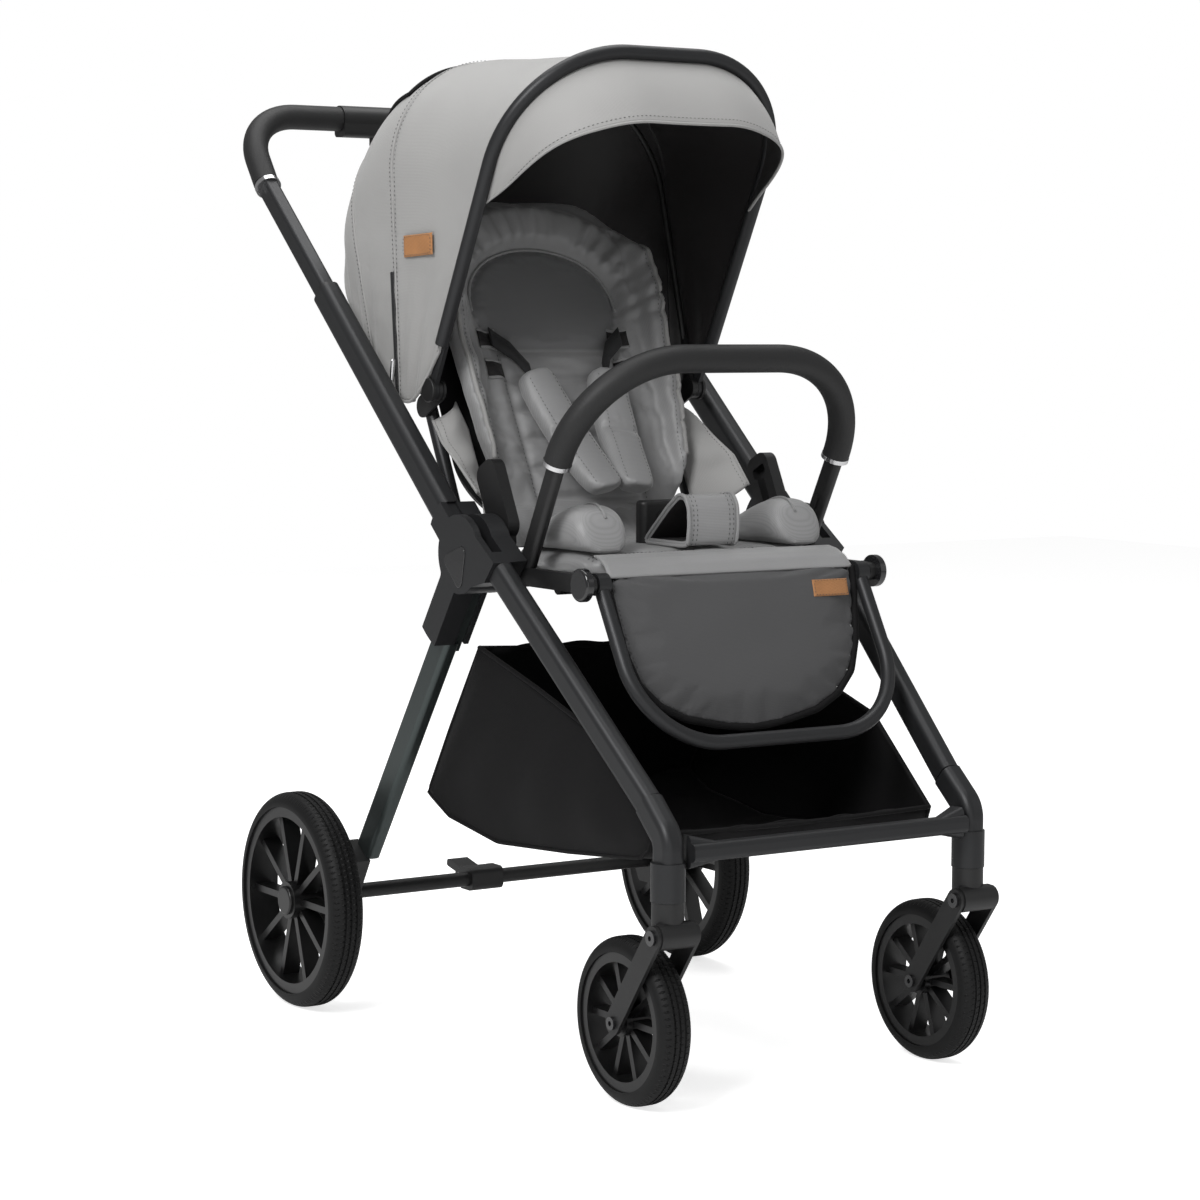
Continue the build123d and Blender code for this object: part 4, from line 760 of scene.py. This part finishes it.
def seam_distance(x, t, seams):
    """The least distance of each (x, t) from a list of seams, each an (k, 2) array of corners."""
    best = np.full(np.shape(x), 9.0)
    for seam in seams:
        for (ax, at), (bx, bt) in zip(seam[:-1], seam[1:]):
            dx, dt = bx - ax, bt - at
            share = np.clip(((x - ax) * dx + (t - at) * dt) / (dx * dx + dt * dt + 1e-12), 0, 1)
            best = np.minimum(best, np.hypot(x - ax - share * dx, t - at - share * dt))
    return best


def corners_of(piece):
    """A piece's points as an (k, 3) array."""
    points = np.empty(len(piece.data.vertices) * 3)
    piece.data.vertices.foreach_get("co", points)
    return points.reshape(-1, 3)


def set_corners(piece, points):
    """Write an (k, 3) array back as a piece's points."""
    piece.data.vertices.foreach_set("co", np.ascontiguousarray(points, float).ravel())
    piece.data.update()


def remesh(piece, voxel):
    """Replace a piece's mesh by even faces of about `voxel` metres."""
    modifier = piece.modifiers.new("even", "REMESH")
    modifier.mode, modifier.voxel_size, modifier.use_smooth_shade = "VOXEL", voxel, True
    made = bpy.data.meshes.new_from_object(piece.evaluated_get(bpy.context.evaluated_depsgraph_get()))
    for material in piece.data.materials:
        if material.name not in made.materials:
            made.materials.append(material)
    piece.modifiers.clear()
    piece.data = made


SEAM_HOLD, BACK_HOLD = 0.004, 0.002     # how near a seam or the back a point is pinned
PRESSURE, FRAMES = 4.0, 20


def inflate(piece, pad, seams, cap):
    """Cloth pressure on a closed piece with its seams and its back pinned. No point moves further
    than `cap`."""
    before = corners_of(piece)
    x, t, n = pad.read(before)
    pinned = (seam_distance(x, t, seams) < SEAM_HOLD) | (n < n.min() + BACK_HOLD)
    group = piece.vertex_groups.new(name="sewn")
    group.add([int(k) for k in np.flatnonzero(pinned)], 1.0, "REPLACE")
    modifier = piece.modifiers.new("stuffing", "CLOTH")
    modifier.settings.quality = 5
    modifier.settings.mass = 0.3
    modifier.settings.tension_stiffness = modifier.settings.compression_stiffness = 10
    modifier.settings.bending_stiffness = 0.4
    modifier.settings.vertex_group_mass = "sewn"
    modifier.settings.use_pressure, modifier.settings.uniform_pressure_force = True, PRESSURE
    modifier.settings.effector_weights.gravity = 0
    modifier.collision_settings.use_collision = False
    modifier.point_cache.frame_start, modifier.point_cache.frame_end = 1, FRAMES
    for number in range(1, FRAMES + 1):
        bpy.context.scene.frame_set(number)
        bpy.context.view_layer.update()
    swollen = bpy.data.meshes.new_from_object(piece.evaluated_get(bpy.context.evaluated_depsgraph_get()))
    after = np.empty(len(swollen.vertices) * 3)
    swollen.vertices.foreach_get("co", after)
    move = np.nan_to_num(after.reshape(-1, 3) - before)
    size = np.linalg.norm(move, axis=1, keepdims=True)
    piece.modifiers.clear()
    bpy.context.scene.frame_set(1)
    bpy.data.meshes.remove(swollen)
    set_corners(piece, before + move * np.minimum(1, cap / (size + 1e-9)))
    print(piece.name, "swelled by up to", round(float(np.minimum(size, cap).max()) * 1000, 1), "mm")


def rounded(x_half, t_low, t_high, thick, low_n, rows, around, power, edge, rise=None):
    """Ring points of a pad `x_half(t)` wide each side and `thick` deep, from n = low_n up: a superellipse
    outline in x and t, an edge rounded by a power, and `rise(x, t)` added to n."""
    share = np.linspace(0, 1, rows)
    t = t_low + (t_high - t_low) * (0.5 - 0.5 * np.cos(np.pi * share))
    fill = (1 - np.abs(2 * (t - t_low) / (t_high - t_low) - 1) ** power) ** (1 / power)
    angle = np.linspace(0, 2 * np.pi, around, endpoint=False)
    c, s = np.cos(angle), np.sin(angle)
    across, upward = superpower(c, 0.45), superpower(s, edge)
    x = x_half(t)[:, None] * fill[:, None] * across[None]
    t = np.repeat(t[:, None], around, 1)
    n = low_n + thick / 2 + thick / 2 * upward[None] * np.minimum(1, fill[:, None] * 1.6)
    if rise is not None:
        n = n + rise(x, t)
    return x, t, n


def make_pad(name, pad, ring, material, seams, cap, channel=0.005, width=0.006, voxel=0.005, detail=None):
    """Build, swell and sew one padded piece. The front sinks by channel exp(-(distance / width)^2) at the
    seams, and by puckers beside them; `detail(x, t, n)` gives what else to add to n there."""
    piece = grid_piece(name, pad.place(*ring), [material], wrap=True)
    remesh(piece, voxel)
    inflate(piece, pad, seams, cap)
    points = corners_of(piece)
    x, t, n = pad.read(points)
    if detail is None:
        middle = (n.min() + n.max()) / 2
        front = smooth(middle - 0.002, middle + 0.003, n)
    else:
        front = smooth(0.004, 0.014, n - n.min())
    distance = seam_distance(x, t, seams)
    press = channel * np.exp(-(distance / width) ** 2)
    pucker = 0.0012 * np.sin(x * 310 + 4 * np.sin(t * 90)) * np.sin(t * 330 + 4 * np.sin(x * 80))
    pucker = pucker * np.exp(-((distance - 0.010) / 0.009) ** 2)
    extra = detail(x, t, n) if detail is not None else 0
    points = points + ((pucker - press) * front + extra * front)[:, None] * pad.out
    set_corners(piece, points)
    x, t, n = pad.read(points)
    mesh = piece.data
    layer = mesh.uv_layers.get("UVMap") or mesh.uv_layers.new(name="UVMap")
    corner = np.empty(len(mesh.loops), int)
    mesh.loops.foreach_get("vertex_index", corner)
    layer.data.foreach_set("uv", np.stack([x + 0.3 * n, t + 0.7 * n], -1)[corner].ravel())
    for face in mesh.polygons:
        face.use_smooth = True
    modifier = piece.modifiers.new("smooth", "SUBSURF")
    modifier.levels = modifier.render_levels = 1
    return piece


DROP_FROM = 0.12                  # how far in front of a pad a thread starts before it is dropped on it


def lay_on(piece, pad, x, t, lift=0.001):
    """A path dropped on a piece from in front, along matching x and t arrays, and lifted off it."""
    tree = BVHTree.FromObject(piece, bpy.context.evaluated_depsgraph_get())
    path = []
    for above in pad.place(np.asarray(x, float), np.asarray(t, float), DROP_FROM):
        hit = tree.ray_cast(Vector(above), Vector(-pad.out), DROP_FROM + 0.1)[0]
        if hit is not None:
            path.append(np.array(hit) + lift * pad.out)
    return np.array(path)


def line(*corners, count=60):
    """x and t arrays evenly spaced along a line of (x, t) corners."""
    path = resample(np.array(corners, float), count)
    return path[:, 0], path[:, 1]


# %% Backrest
back = Pad((0, -0.029, 0.560), 63.6)


def back_half(t):
    """Half width: a little waisted low down, full at the shoulders."""
    return 0.149 - 0.010 * np.exp(-((t - 0.10) / 0.08) ** 2)


def back_rise(x, t):
    """The side wings lean forward, most between the seat and the shoulders."""
    wing = smooth(0.098, 0.150, np.abs(x)) * smooth(0.03, 0.10, t) * (1 - smooth(0.36, 0.44, t))
    return 0.040 * wing


INSERT = 0.071                    # half the width of the channelled lumbar panel
arch_t = np.linspace(0, np.pi, 25)
head_arch = np.stack([0.100 * np.cos(arch_t), 0.300 + 0.082 * np.sin(arch_t) ** 0.8], -1)
back_seams = [np.array([(side * INSERT, 0.030), (side * (INSERT + 0.006), 0.245)]) for side in (-1, 1)]
back_seams += [np.array([(-INSERT, t), (INSERT, t)]) for t in np.arange(0.060, 0.240, 0.0375)]
back_seams += [head_arch, np.array([(-0.100, 0.300), (-0.078, 0.248), (0.078, 0.248), (0.100, 0.300)])]
back_seams += [np.array([(side * 0.118, 0.05), (side * 0.120, 0.40)]) for side in (-1, 1)]


def back_detail(x, t, n):
    """The gathered head roll, the flat head panel, and slack wrinkles across the sides."""
    arch = np.hypot(x / 0.100, np.maximum(t - 0.300, 0) / 0.082)
    roll = smooth(1.03, 1.18, arch) * (1 - smooth(1.55, 1.75, arch)) * smooth(0.26, 0.31, t)
    turn = np.arctan2(t - 0.29, x)
    gather = np.sin(turn * 27 + 2.2 * np.sin(turn * 7)) * 0.6 + np.sin(turn * 41 + 1) * 0.4
    side = smooth(0.078, 0.090, np.abs(x)) * (1 - smooth(0.27, 0.30, t)) * smooth(0.03, 0.06, t)
    wrinkle = np.sin(t * 128 + x * 22 + 1.7 * np.sin(t * 37 + x * 50)) * np.sin(x * 60 + t * 11)
    lumbar = np.where(np.abs(x) < INSERT, 1, 0) * (1 - smooth(0.235, 0.25, t))
    grain = np.sin(x * 95 + t * 240)
    return roll * (0.010 + 0.0036 * gather) + side * 0.0030 * wrinkle + lumbar * 0.0008 * grain


ring = rounded(back_half, 0.024, 0.452, 0.031, -0.0345, rows=110, around=180, power=4.2, edge=0.35,
               rise=back_rise)
back_pad = make_pad("backrest_cushion", back, ring, seat_cloth, back_seams, 0.008, channel=0.0055,
                    width=0.0055, detail=back_detail)
x, t, n = back.read(corners_of(back_pad))
head = (np.hypot(x / 0.100, np.maximum(t - 0.300, 0) / 0.082) < 1.0) & (t > 0.249) & (n > -0.03)
head &= np.abs(x) < 0.078 + (t - 0.248) * 0.45
attribute = back_pad.data.attributes.new("panel", "FLOAT", "POINT")
attribute.data.foreach_set("value", head.astype(float))
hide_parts("backrest_pad")
back_trim = []
for number, side in enumerate((-1, 1)):
    corners = (side * (INSERT + 0.004), 0.035), (side * (INSERT + 0.009), 0.242)
    path = lay_on(back_pad, back, *line(*corners, count=70), lift=0.0006)
    back_trim.append(stitches(f"backrest_stitches_{number}", path, dark_thread))
path = lay_on(back_pad, back, *head_arch.T, lift=0.0012)
back_trim.append(tube("head_panel_piping", resample(path, 90), 0.0017, seat_cloth))
for side, word in SIDES:
    t_line = np.linspace(0.045, 0.400, 90)
    edge = lay_on(back_pad, back, side * (back_half(t_line) - 0.0065), t_line, lift=0.0016)
    back_trim.append(tube(f"wing_piping_{word}", edge, 0.0028, canopy_cloth))
    inner = lay_on(back_pad, back, side * (back_half(t_line) - 0.013), t_line, lift=0.0006)
    back_trim.append(stitches(f"wing_stitches_{word}", inner, dark_thread))
    for number, slot_t in enumerate((0.262, 0.222)):
        x_line = np.linspace(side * 0.078, side * 0.104, 12)
        for row, shift in enumerate((-0.011, 0.011)):
            path = lay_on(back_pad, back, x_line, np.full(12, slot_t + shift), lift=0.0008)
            back_trim.append(tube(f"slot_lip_{word}_{number}_{row}", path, 0.0018, seat_cloth))
        # painted shade: a near-black sheet between the slot's lips stands for the shade inside the slot's
        # opening
        grid = np.stack([lay_on(back_pad, back, x_line, np.full(12, slot_t + shift), lift=0.0010)
                         for shift in (-0.010, -0.003, 0.003, 0.010)])
        back_trim.append(grid_piece(f"harness_slot_{word}_{number}", grid, [lining_cloth], thickness=0.0006))
fasten([back_pad, *back_trim], "backrest")

# %% Shoulder pads and their webbing
shoulder_pieces, shoulder_pads = [], []
for side, word in SIDES:
    top, low = np.array([side * 0.050, 0.212]), np.array([side * 0.020, 0.040])
    run = (low - top) / np.linalg.norm(low - top)
    cross_run = np.array([-run[1], run[0]])
    length = np.linalg.norm(low - top)
    rows, around = 56, 40
    share = (1 - np.cos(np.pi * np.linspace(0, 1, rows))) / 2
    fill = (1 - np.abs(2 * share - 1) ** 5) ** 0.2
    angle = np.linspace(0, 2 * np.pi, around, endpoint=False)
    wide = 0.026 * fill[:, None] * superpower(np.cos(angle), 0.6)
    high = 0.0150 * np.minimum(1, 1.5 * fill)[:, None] * superpower(np.sin(angle), 0.8)
    centre = top + share[:, None] * length * run
    x = centre[:, :1] + wide * cross_run[0]
    t = centre[:, 1:] + wide * cross_run[1]
    lift = 0.012 + 0.046 * share[:, None] ** 1.6
    pad_seams = [np.array([top + run * length * 0.50 + cross_run * end for end in (-0.022, 0.022)])]
    shoulder = make_pad(f"shoulder_pad_{word}", back, (x, t, lift + high), seat_cloth, pad_seams, 0.005,
                        channel=0.004, width=0.006, voxel=0.004)
    shoulder_pieces.append(shoulder)
    shoulder_pads.append(shoulder)
    for number, sign in enumerate((-1, 1)):
        corners = [top + run * length * s + cross_run * 0.0165 * sign for s in (0.07, 0.93)]
        path = lay_on(shoulder, back, *line(*corners, count=60), lift=0.0006)
        shoulder_pieces.append(stitches(f"shoulder_stitches_{word}_{number}", path, dark_thread))
    strap_x, strap_t = line((side * 0.090, 0.262), (side * 0.066, 0.242), tuple(top), count=24)
    strap = back.place(strap_x, strap_t, 0.004 + 0.006 * np.linspace(0, 1, 24) ** 2)
    strap = np.stack([strap + s * back.along * 0.012 for s in (-1, 0, 1)])
    shoulder_pieces.append(grid_piece(f"shoulder_webbing_{word}", strap, [webbing], thickness=0.0016))
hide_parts("shoulder_pads")
fasten(shoulder_pieces, "backrest")

# %% Side flaps between the backrest and the seat's sides
FLAP_OUTER = [(0.1820, 0.058, 0.700), (0.1880, 0.026, 0.676), (0.1905, -0.012, 0.655),
              (0.1860, -0.050, 0.622)]
FLAP_INNER = [(0.1420, 0.074, 0.722), (0.1400, 0.048, 0.690), (0.1400, 0.022, 0.640),
              (0.1450, 0.002, 0.590)]
for side, word in SIDES:
    outer, inner = resample(np.array(FLAP_OUTER), 30), resample(np.array(FLAP_INNER), 30)
    share = np.linspace(0, 1, 16)[:, None, None]
    points = outer[None] + (inner - outer)[None] * share
    points = points * (side, 1, 1)
    fold = 0.004 * np.sin(np.linspace(0, 1, 30) * 15)[None] * np.sin(np.pi * share[..., 0])
    points[..., 1] -= 0.012 * np.sin(np.pi * share[..., 0]) + fold
    flap = grid_piece(f"side_flap_{word}", points, [canopy_cloth], uv_size=(0.16, 0.06), thickness=0.0016)
    trim = [tube(f"side_flap_hem_{word}", outer * (side, 1, 1) + (0, -0.001, 0), 0.0017, canopy_cloth)]
    trim.append(stitches(f"side_flap_stitches_{word}", points[2] + (0, -0.0020, 0.0010), dark_thread))
    bend([flap, *trim], ("chassis", "backrest"), "canopy_fabric", (0, -0.045, 0.615), (0, 0.050, 0.695))

# %% Seat cushion
seat = Pad((0, -0.040, 0.5365), 180.0, flip=-1)
seat_seams = [np.array([(-0.150, 0.188), (0.150, 0.188)])]
seat_seams += [np.array([(side * 0.112, 0.02), (side * 0.112, 0.188)]) for side in (-1, 1)]
seat_seams += [np.array([(-0.112, t), (0.112, t)]) for t in (0.045, 0.085)]


def seat_half(t):
    """Half width of the seat, a little narrower at the back."""
    return 0.148 + 0.012 * smooth(0.02, 0.16, t)


def seat_drop(x, t):
    """The front edge rolls down to the leg rest."""
    return -0.005 * smooth(0.185, 0.222, t)


ring = rounded(seat_half, 0.002, 0.221, 0.027, 0.001, rows=70, around=140, power=5.5, edge=0.5,
               rise=seat_drop)
seat_pad = make_pad("seat_pad", seat, ring, seat_cloth, seat_seams, 0.006, channel=0.004, width=0.006)
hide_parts("seat_cushion")
seat_pieces = [seat_pad]
for side, word in SIDES:
    rows, around = 64, 48
    share = (1 - np.cos(np.pi * np.linspace(0, 1, rows))) / 2
    y = -0.240 + 0.146 * share
    height = 0.069 * (1 - share) ** 0.75 * (1 - (1 - share) ** 7) + 0.003
    angle = np.linspace(0, 2 * np.pi, around, endpoint=False)
    wide = 0.0335 * (1 - np.abs(2 * share - 1) ** 6)[:, None] ** 0.4
    wide = wide * superpower(np.cos(angle), 0.75)
    z = 0.564 + height[:, None] * (0.5 + 0.5 * superpower(np.sin(angle), 0.75))
    points = np.stack([side * 0.131 + wide, np.repeat(y[:, None], around, 1), z], -1)
    puff = Pad((side * 0.131, -0.205, 0.5665), 180.0, flip=-1)
    ring = [value.reshape(rows, around) for value in puff.read(points.reshape(-1, 3))]
    piece = make_pad(f"bolster_{word}", puff, ring, seat_cloth, [], 0.006, voxel=0.0045)
    ridge_y = np.linspace(-0.225, -0.110, 50)
    path = lay_on(piece, puff, np.full(50, side * -0.004), -0.205 - ridge_y, lift=0.0010)
    seat_pieces += [piece, tube(f"bolster_piping_{word}", path, 0.0016, seat_cloth)]
for number, t_line in enumerate((0.184, 0.192)):
    path = lay_on(seat_pad, seat, np.linspace(-0.148, 0.148, 120), np.full(120, t_line), lift=0.0006)
    seat_pieces.append(stitches(f"seat_stitches_{number}", path, dark_thread))
fasten(seat_pieces, "chassis")

# %% Crotch band: a stiff padded loop standing on the front of the seat
BAND_HALF = 0.0325
wedge = [(-0.244, 0.570), (-0.2475, 0.590), (-0.246, 0.612), (-0.238, 0.624), (-0.226, 0.6255),
         (-0.205, 0.611), (-0.178, 0.588), (-0.160, 0.572), (-0.163, 0.5685), (-0.200, 0.5685),
         (-0.236, 0.5685), (-0.244, 0.570)]
loop = resample(np.array(wedge), 121)[:-1]
for _ in range(6):
    loop = (np.roll(loop, 1, 0) + 2 * loop + np.roll(loop, -1, 0)) / 4
loop_middle = loop.mean(0)
band_columns = []
for x in np.linspace(-BAND_HALF, BAND_HALF, 25):
    drawn_in = loop_middle + (loop - loop_middle) * (1 - 0.03 * (x / BAND_HALF) ** 8)
    band_columns.append(np.concatenate([np.full((120, 1), x), drawn_in], 1))
band = np.stack(band_columns, 1)
band = np.concatenate([band, band[:1]], 0)
crotch = grid_piece("crotch_band", band, [seat_cloth, lining_cloth], uv_size=(2 * BAND_HALF, 0.2),
                    thickness=0.0045, inner=1)
crotch_trim = []
for number, x in enumerate((-0.0265, -0.0215, 0.0215, 0.0265)):
    path = np.concatenate([np.full((75, 1), x), loop_middle + (loop[:75] - loop_middle) * 1.012], 1)
    crotch_trim.append(stitches(f"crotch_stitches_{number}", path, dark_thread))
for side, word in SIDES:
    rim = np.concatenate([np.full((120, 1), side * BAND_HALF), loop], 1)
    crotch_trim.append(tube(f"crotch_piping_{word}", np.concatenate([rim, rim[:1]]), 0.0020, seat_cloth))
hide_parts("crotch_pad")
fasten([crotch, *crotch_trim], "chassis")

# %% Apron on the leg rest
apron = Pad((0, -0.284, 0.536), 255.0, flip=-1)


def apron_half(t):
    """Half width down the apron: nearly straight, then rounded corners."""
    return np.interp(t, [-0.010, 0.004, 0.044, 0.077, 0.111, 0.135, 0.151, 0.160, 0.166],
                     [0.163, 0.163, 0.158, 0.153, 0.141, 0.118, 0.087, 0.045, 0.0])


ring = rounded(apron_half, -0.009, 0.166, 0.0085, -0.0045, rows=70, around=140, power=16.0, edge=0.6)
apron_pad = make_pad("apron_pad", apron, ring, dark_cloth, [], 0.006, voxel=0.0045,
                     detail=lambda x, t, n: 0.0006 * np.sin(x * 37 + t * 61) * np.sin(t * 23 - x * 19))
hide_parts("legrest_apron")
edge_t = np.concatenate([np.linspace(-0.007, 0.160, 66), [0.164]])
rim_x = np.concatenate([-apron_half(edge_t), apron_half(edge_t)[::-1]])
rim_t = np.concatenate([edge_t, edge_t[::-1]])
border = resample(apron.place(rim_x, rim_t, 0.0005), 160)
apron_pieces = [apron_pad, tube("apron_binding", border, 0.0042, black_cloth)]
inset = resample(np.stack([rim_x * 0.955, -0.002 + (rim_t + 0.007) * 0.945], -1), 220)
inset_path = lay_on(apron_pad, apron, *inset.T, lift=0.0006)
apron_pieces.append(stitches("apron_stitches", inset_path, dark_thread))
spot = lay_on(apron_pad, apron, [0.122], [0.018], lift=0.0006)[0]
leather, thread = tag("apron_tag", spot, np.array([1.0, 0, 0]), -apron.along, apron.out, 0.048, 0.019)
fasten([*apron_pieces, thread], "legrest")
fasten([leather], "legrest")

# %% Flap from the seat's front edge to the apron
u, v = np.linspace(-1, 1, 61), np.linspace(0, 1, 14)
flap_y = np.interp(v, [0, 0.3, 0.6, 1], [-0.2480, -0.2620, -0.2740, -0.2845])
flap_z = np.interp(v, [0, 0.3, 0.6, 1], [0.5625, 0.5595, 0.5530, 0.5415])
flap_x = u[None] * (0.157 + 0.005 * v[:, None])
flap = np.stack([flap_x, np.repeat(flap_y[:, None], 61, 1), np.repeat(flap_z[:, None], 61, 1)], -1)
flap_piece = grid_piece("apron_flap", flap, [seat_cloth], uv_size=(0.32, 0.05), thickness=0.0018)
bend([flap_piece], ("chassis", "legrest"), "seat_fabric", (0, -0.262, 0.558), (0, -0.290, 0.532))

# %% Panel that closes the gap between the seat and the backrest
v = np.linspace(0, 1, 16)
low, turn_point = np.array([-0.062, 0.5600]), np.array([-0.034, 0.5590])
high = back.place(0, 0.050, -0.006)[1:]
curve = ((1 - v) ** 2)[:, None] * low + (2 * v * (1 - v))[:, None] * turn_point + (v ** 2)[:, None] * high
crease = 0.0016 * np.sin(np.linspace(-1, 1, 61) * 33)[None] * np.sin(np.pi * v)[:, None]
u = np.linspace(-1, 1, 61)
join = np.stack([u[None] * 0.138 + 0 * v[:, None], curve[:, :1] - crease, curve[:, 1:] + crease], -1)
join_piece = grid_piece("seat_join", join[::-1], [seat_cloth], uv_size=(0.276, 0.06), thickness=0.0018)
bend([join_piece], ("chassis", "backrest"), "seat_fabric", (0, -0.050, 0.560), (0, -0.012, 0.596))

# %% [markdown]
# ## Basket
# A soft bag slung under the seat: two sagging sides, a floor that bellies down between its edges, a high
# back and a low bound front.

# %% Basket shell
BASKET_HALF = 0.1825
BASKET_SIDE = [(-0.050, 0.448), (0.016, 0.350), (0.068, 0.268), (0.020, 0.247), (-0.090, 0.232),
               (-0.240, 0.243), (-0.380, 0.257), (-0.397, 0.268), (-0.402, 0.284)]
profile = resample(np.array(BASKET_SIDE), 90)
half_x, floor_share = np.meshgrid(np.linspace(-1, 1, 81), np.linspace(0, 1, 90))
sag = 0.010 * np.sin(np.pi * floor_share) ** 0.7 * (1 - half_x ** 4)
sway = 0.004 * np.sin(half_x * 9 + 3 * floor_share) * (1 - half_x ** 6)
wrinkle = 0.0015 * np.sin(half_x * 17 + floor_share * 21)
belly = np.stack([half_x * (BASKET_HALF - 0.001), profile[:, :1] + sway, profile[:, 1:] - sag + wrinkle], -1)
basket_floor = grid_piece("basket_floor", belly, [black_cloth], uv_size=(0.366, 0.70), thickness=0.0022)
basket_pieces = [basket_floor]
for side, word in SIDES:
    lower = resample(np.array(BASKET_SIDE), 80)
    upper = resample(np.array([(-0.050, 0.448), (-0.175, 0.414), (-0.300, 0.376), (-0.402, 0.284)]), 80)
    share = np.linspace(0, 1, 30)
    wall = lower[None] + (upper - lower)[None] * share[:, None, None]
    inside = np.sin(np.pi * share)[:, None] * np.sin(np.pi * np.linspace(0, 1, 80))[None] ** 0.6
    bulge = 0.0150 * inside + 0.0022 * inside * np.sin(np.linspace(0, 1, 80)[None] * 31 + 4 * share[:, None])
    x = side * (BASKET_HALF + bulge)
    points = np.stack([x, wall[..., 0], wall[..., 1]], -1)
    piece = grid_piece(f"basket_side_{word}", points, [black_cloth], uv_size=(0.6, 0.2), thickness=0.0020)
    edge = np.stack([np.full(80, side * BASKET_HALF), upper[:, 0], upper[:, 1]], -1)
    corner = np.stack([np.full(80, side * BASKET_HALF), lower[:, 0], lower[:, 1]], -1)
    basket_pieces += [piece, tube(f"basket_binding_{word}", edge, 0.0036, black_cloth, flat=0.7),
                      tube(f"basket_piping_{word}", corner, 0.0022, black_cloth)]
edge_x, edge_dip = np.linspace(-BASKET_HALF, BASKET_HALF, 60), np.cos(np.linspace(-1, 1, 60) * 1.5)
for word, y, z, dip, radius in (("front", -0.402, 0.2845, 0.003, 0.0040),
                                ("back", -0.050, 0.448, 0.006, 0.0036)):
    edge = np.stack([edge_x, np.full(60, y), z - dip * edge_dip], -1)
    basket_pieces.append(tube(f"basket_{word}_binding", edge, radius, black_cloth, flat=0.7))
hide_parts("basket")
fasten(basket_pieces, "chassis")
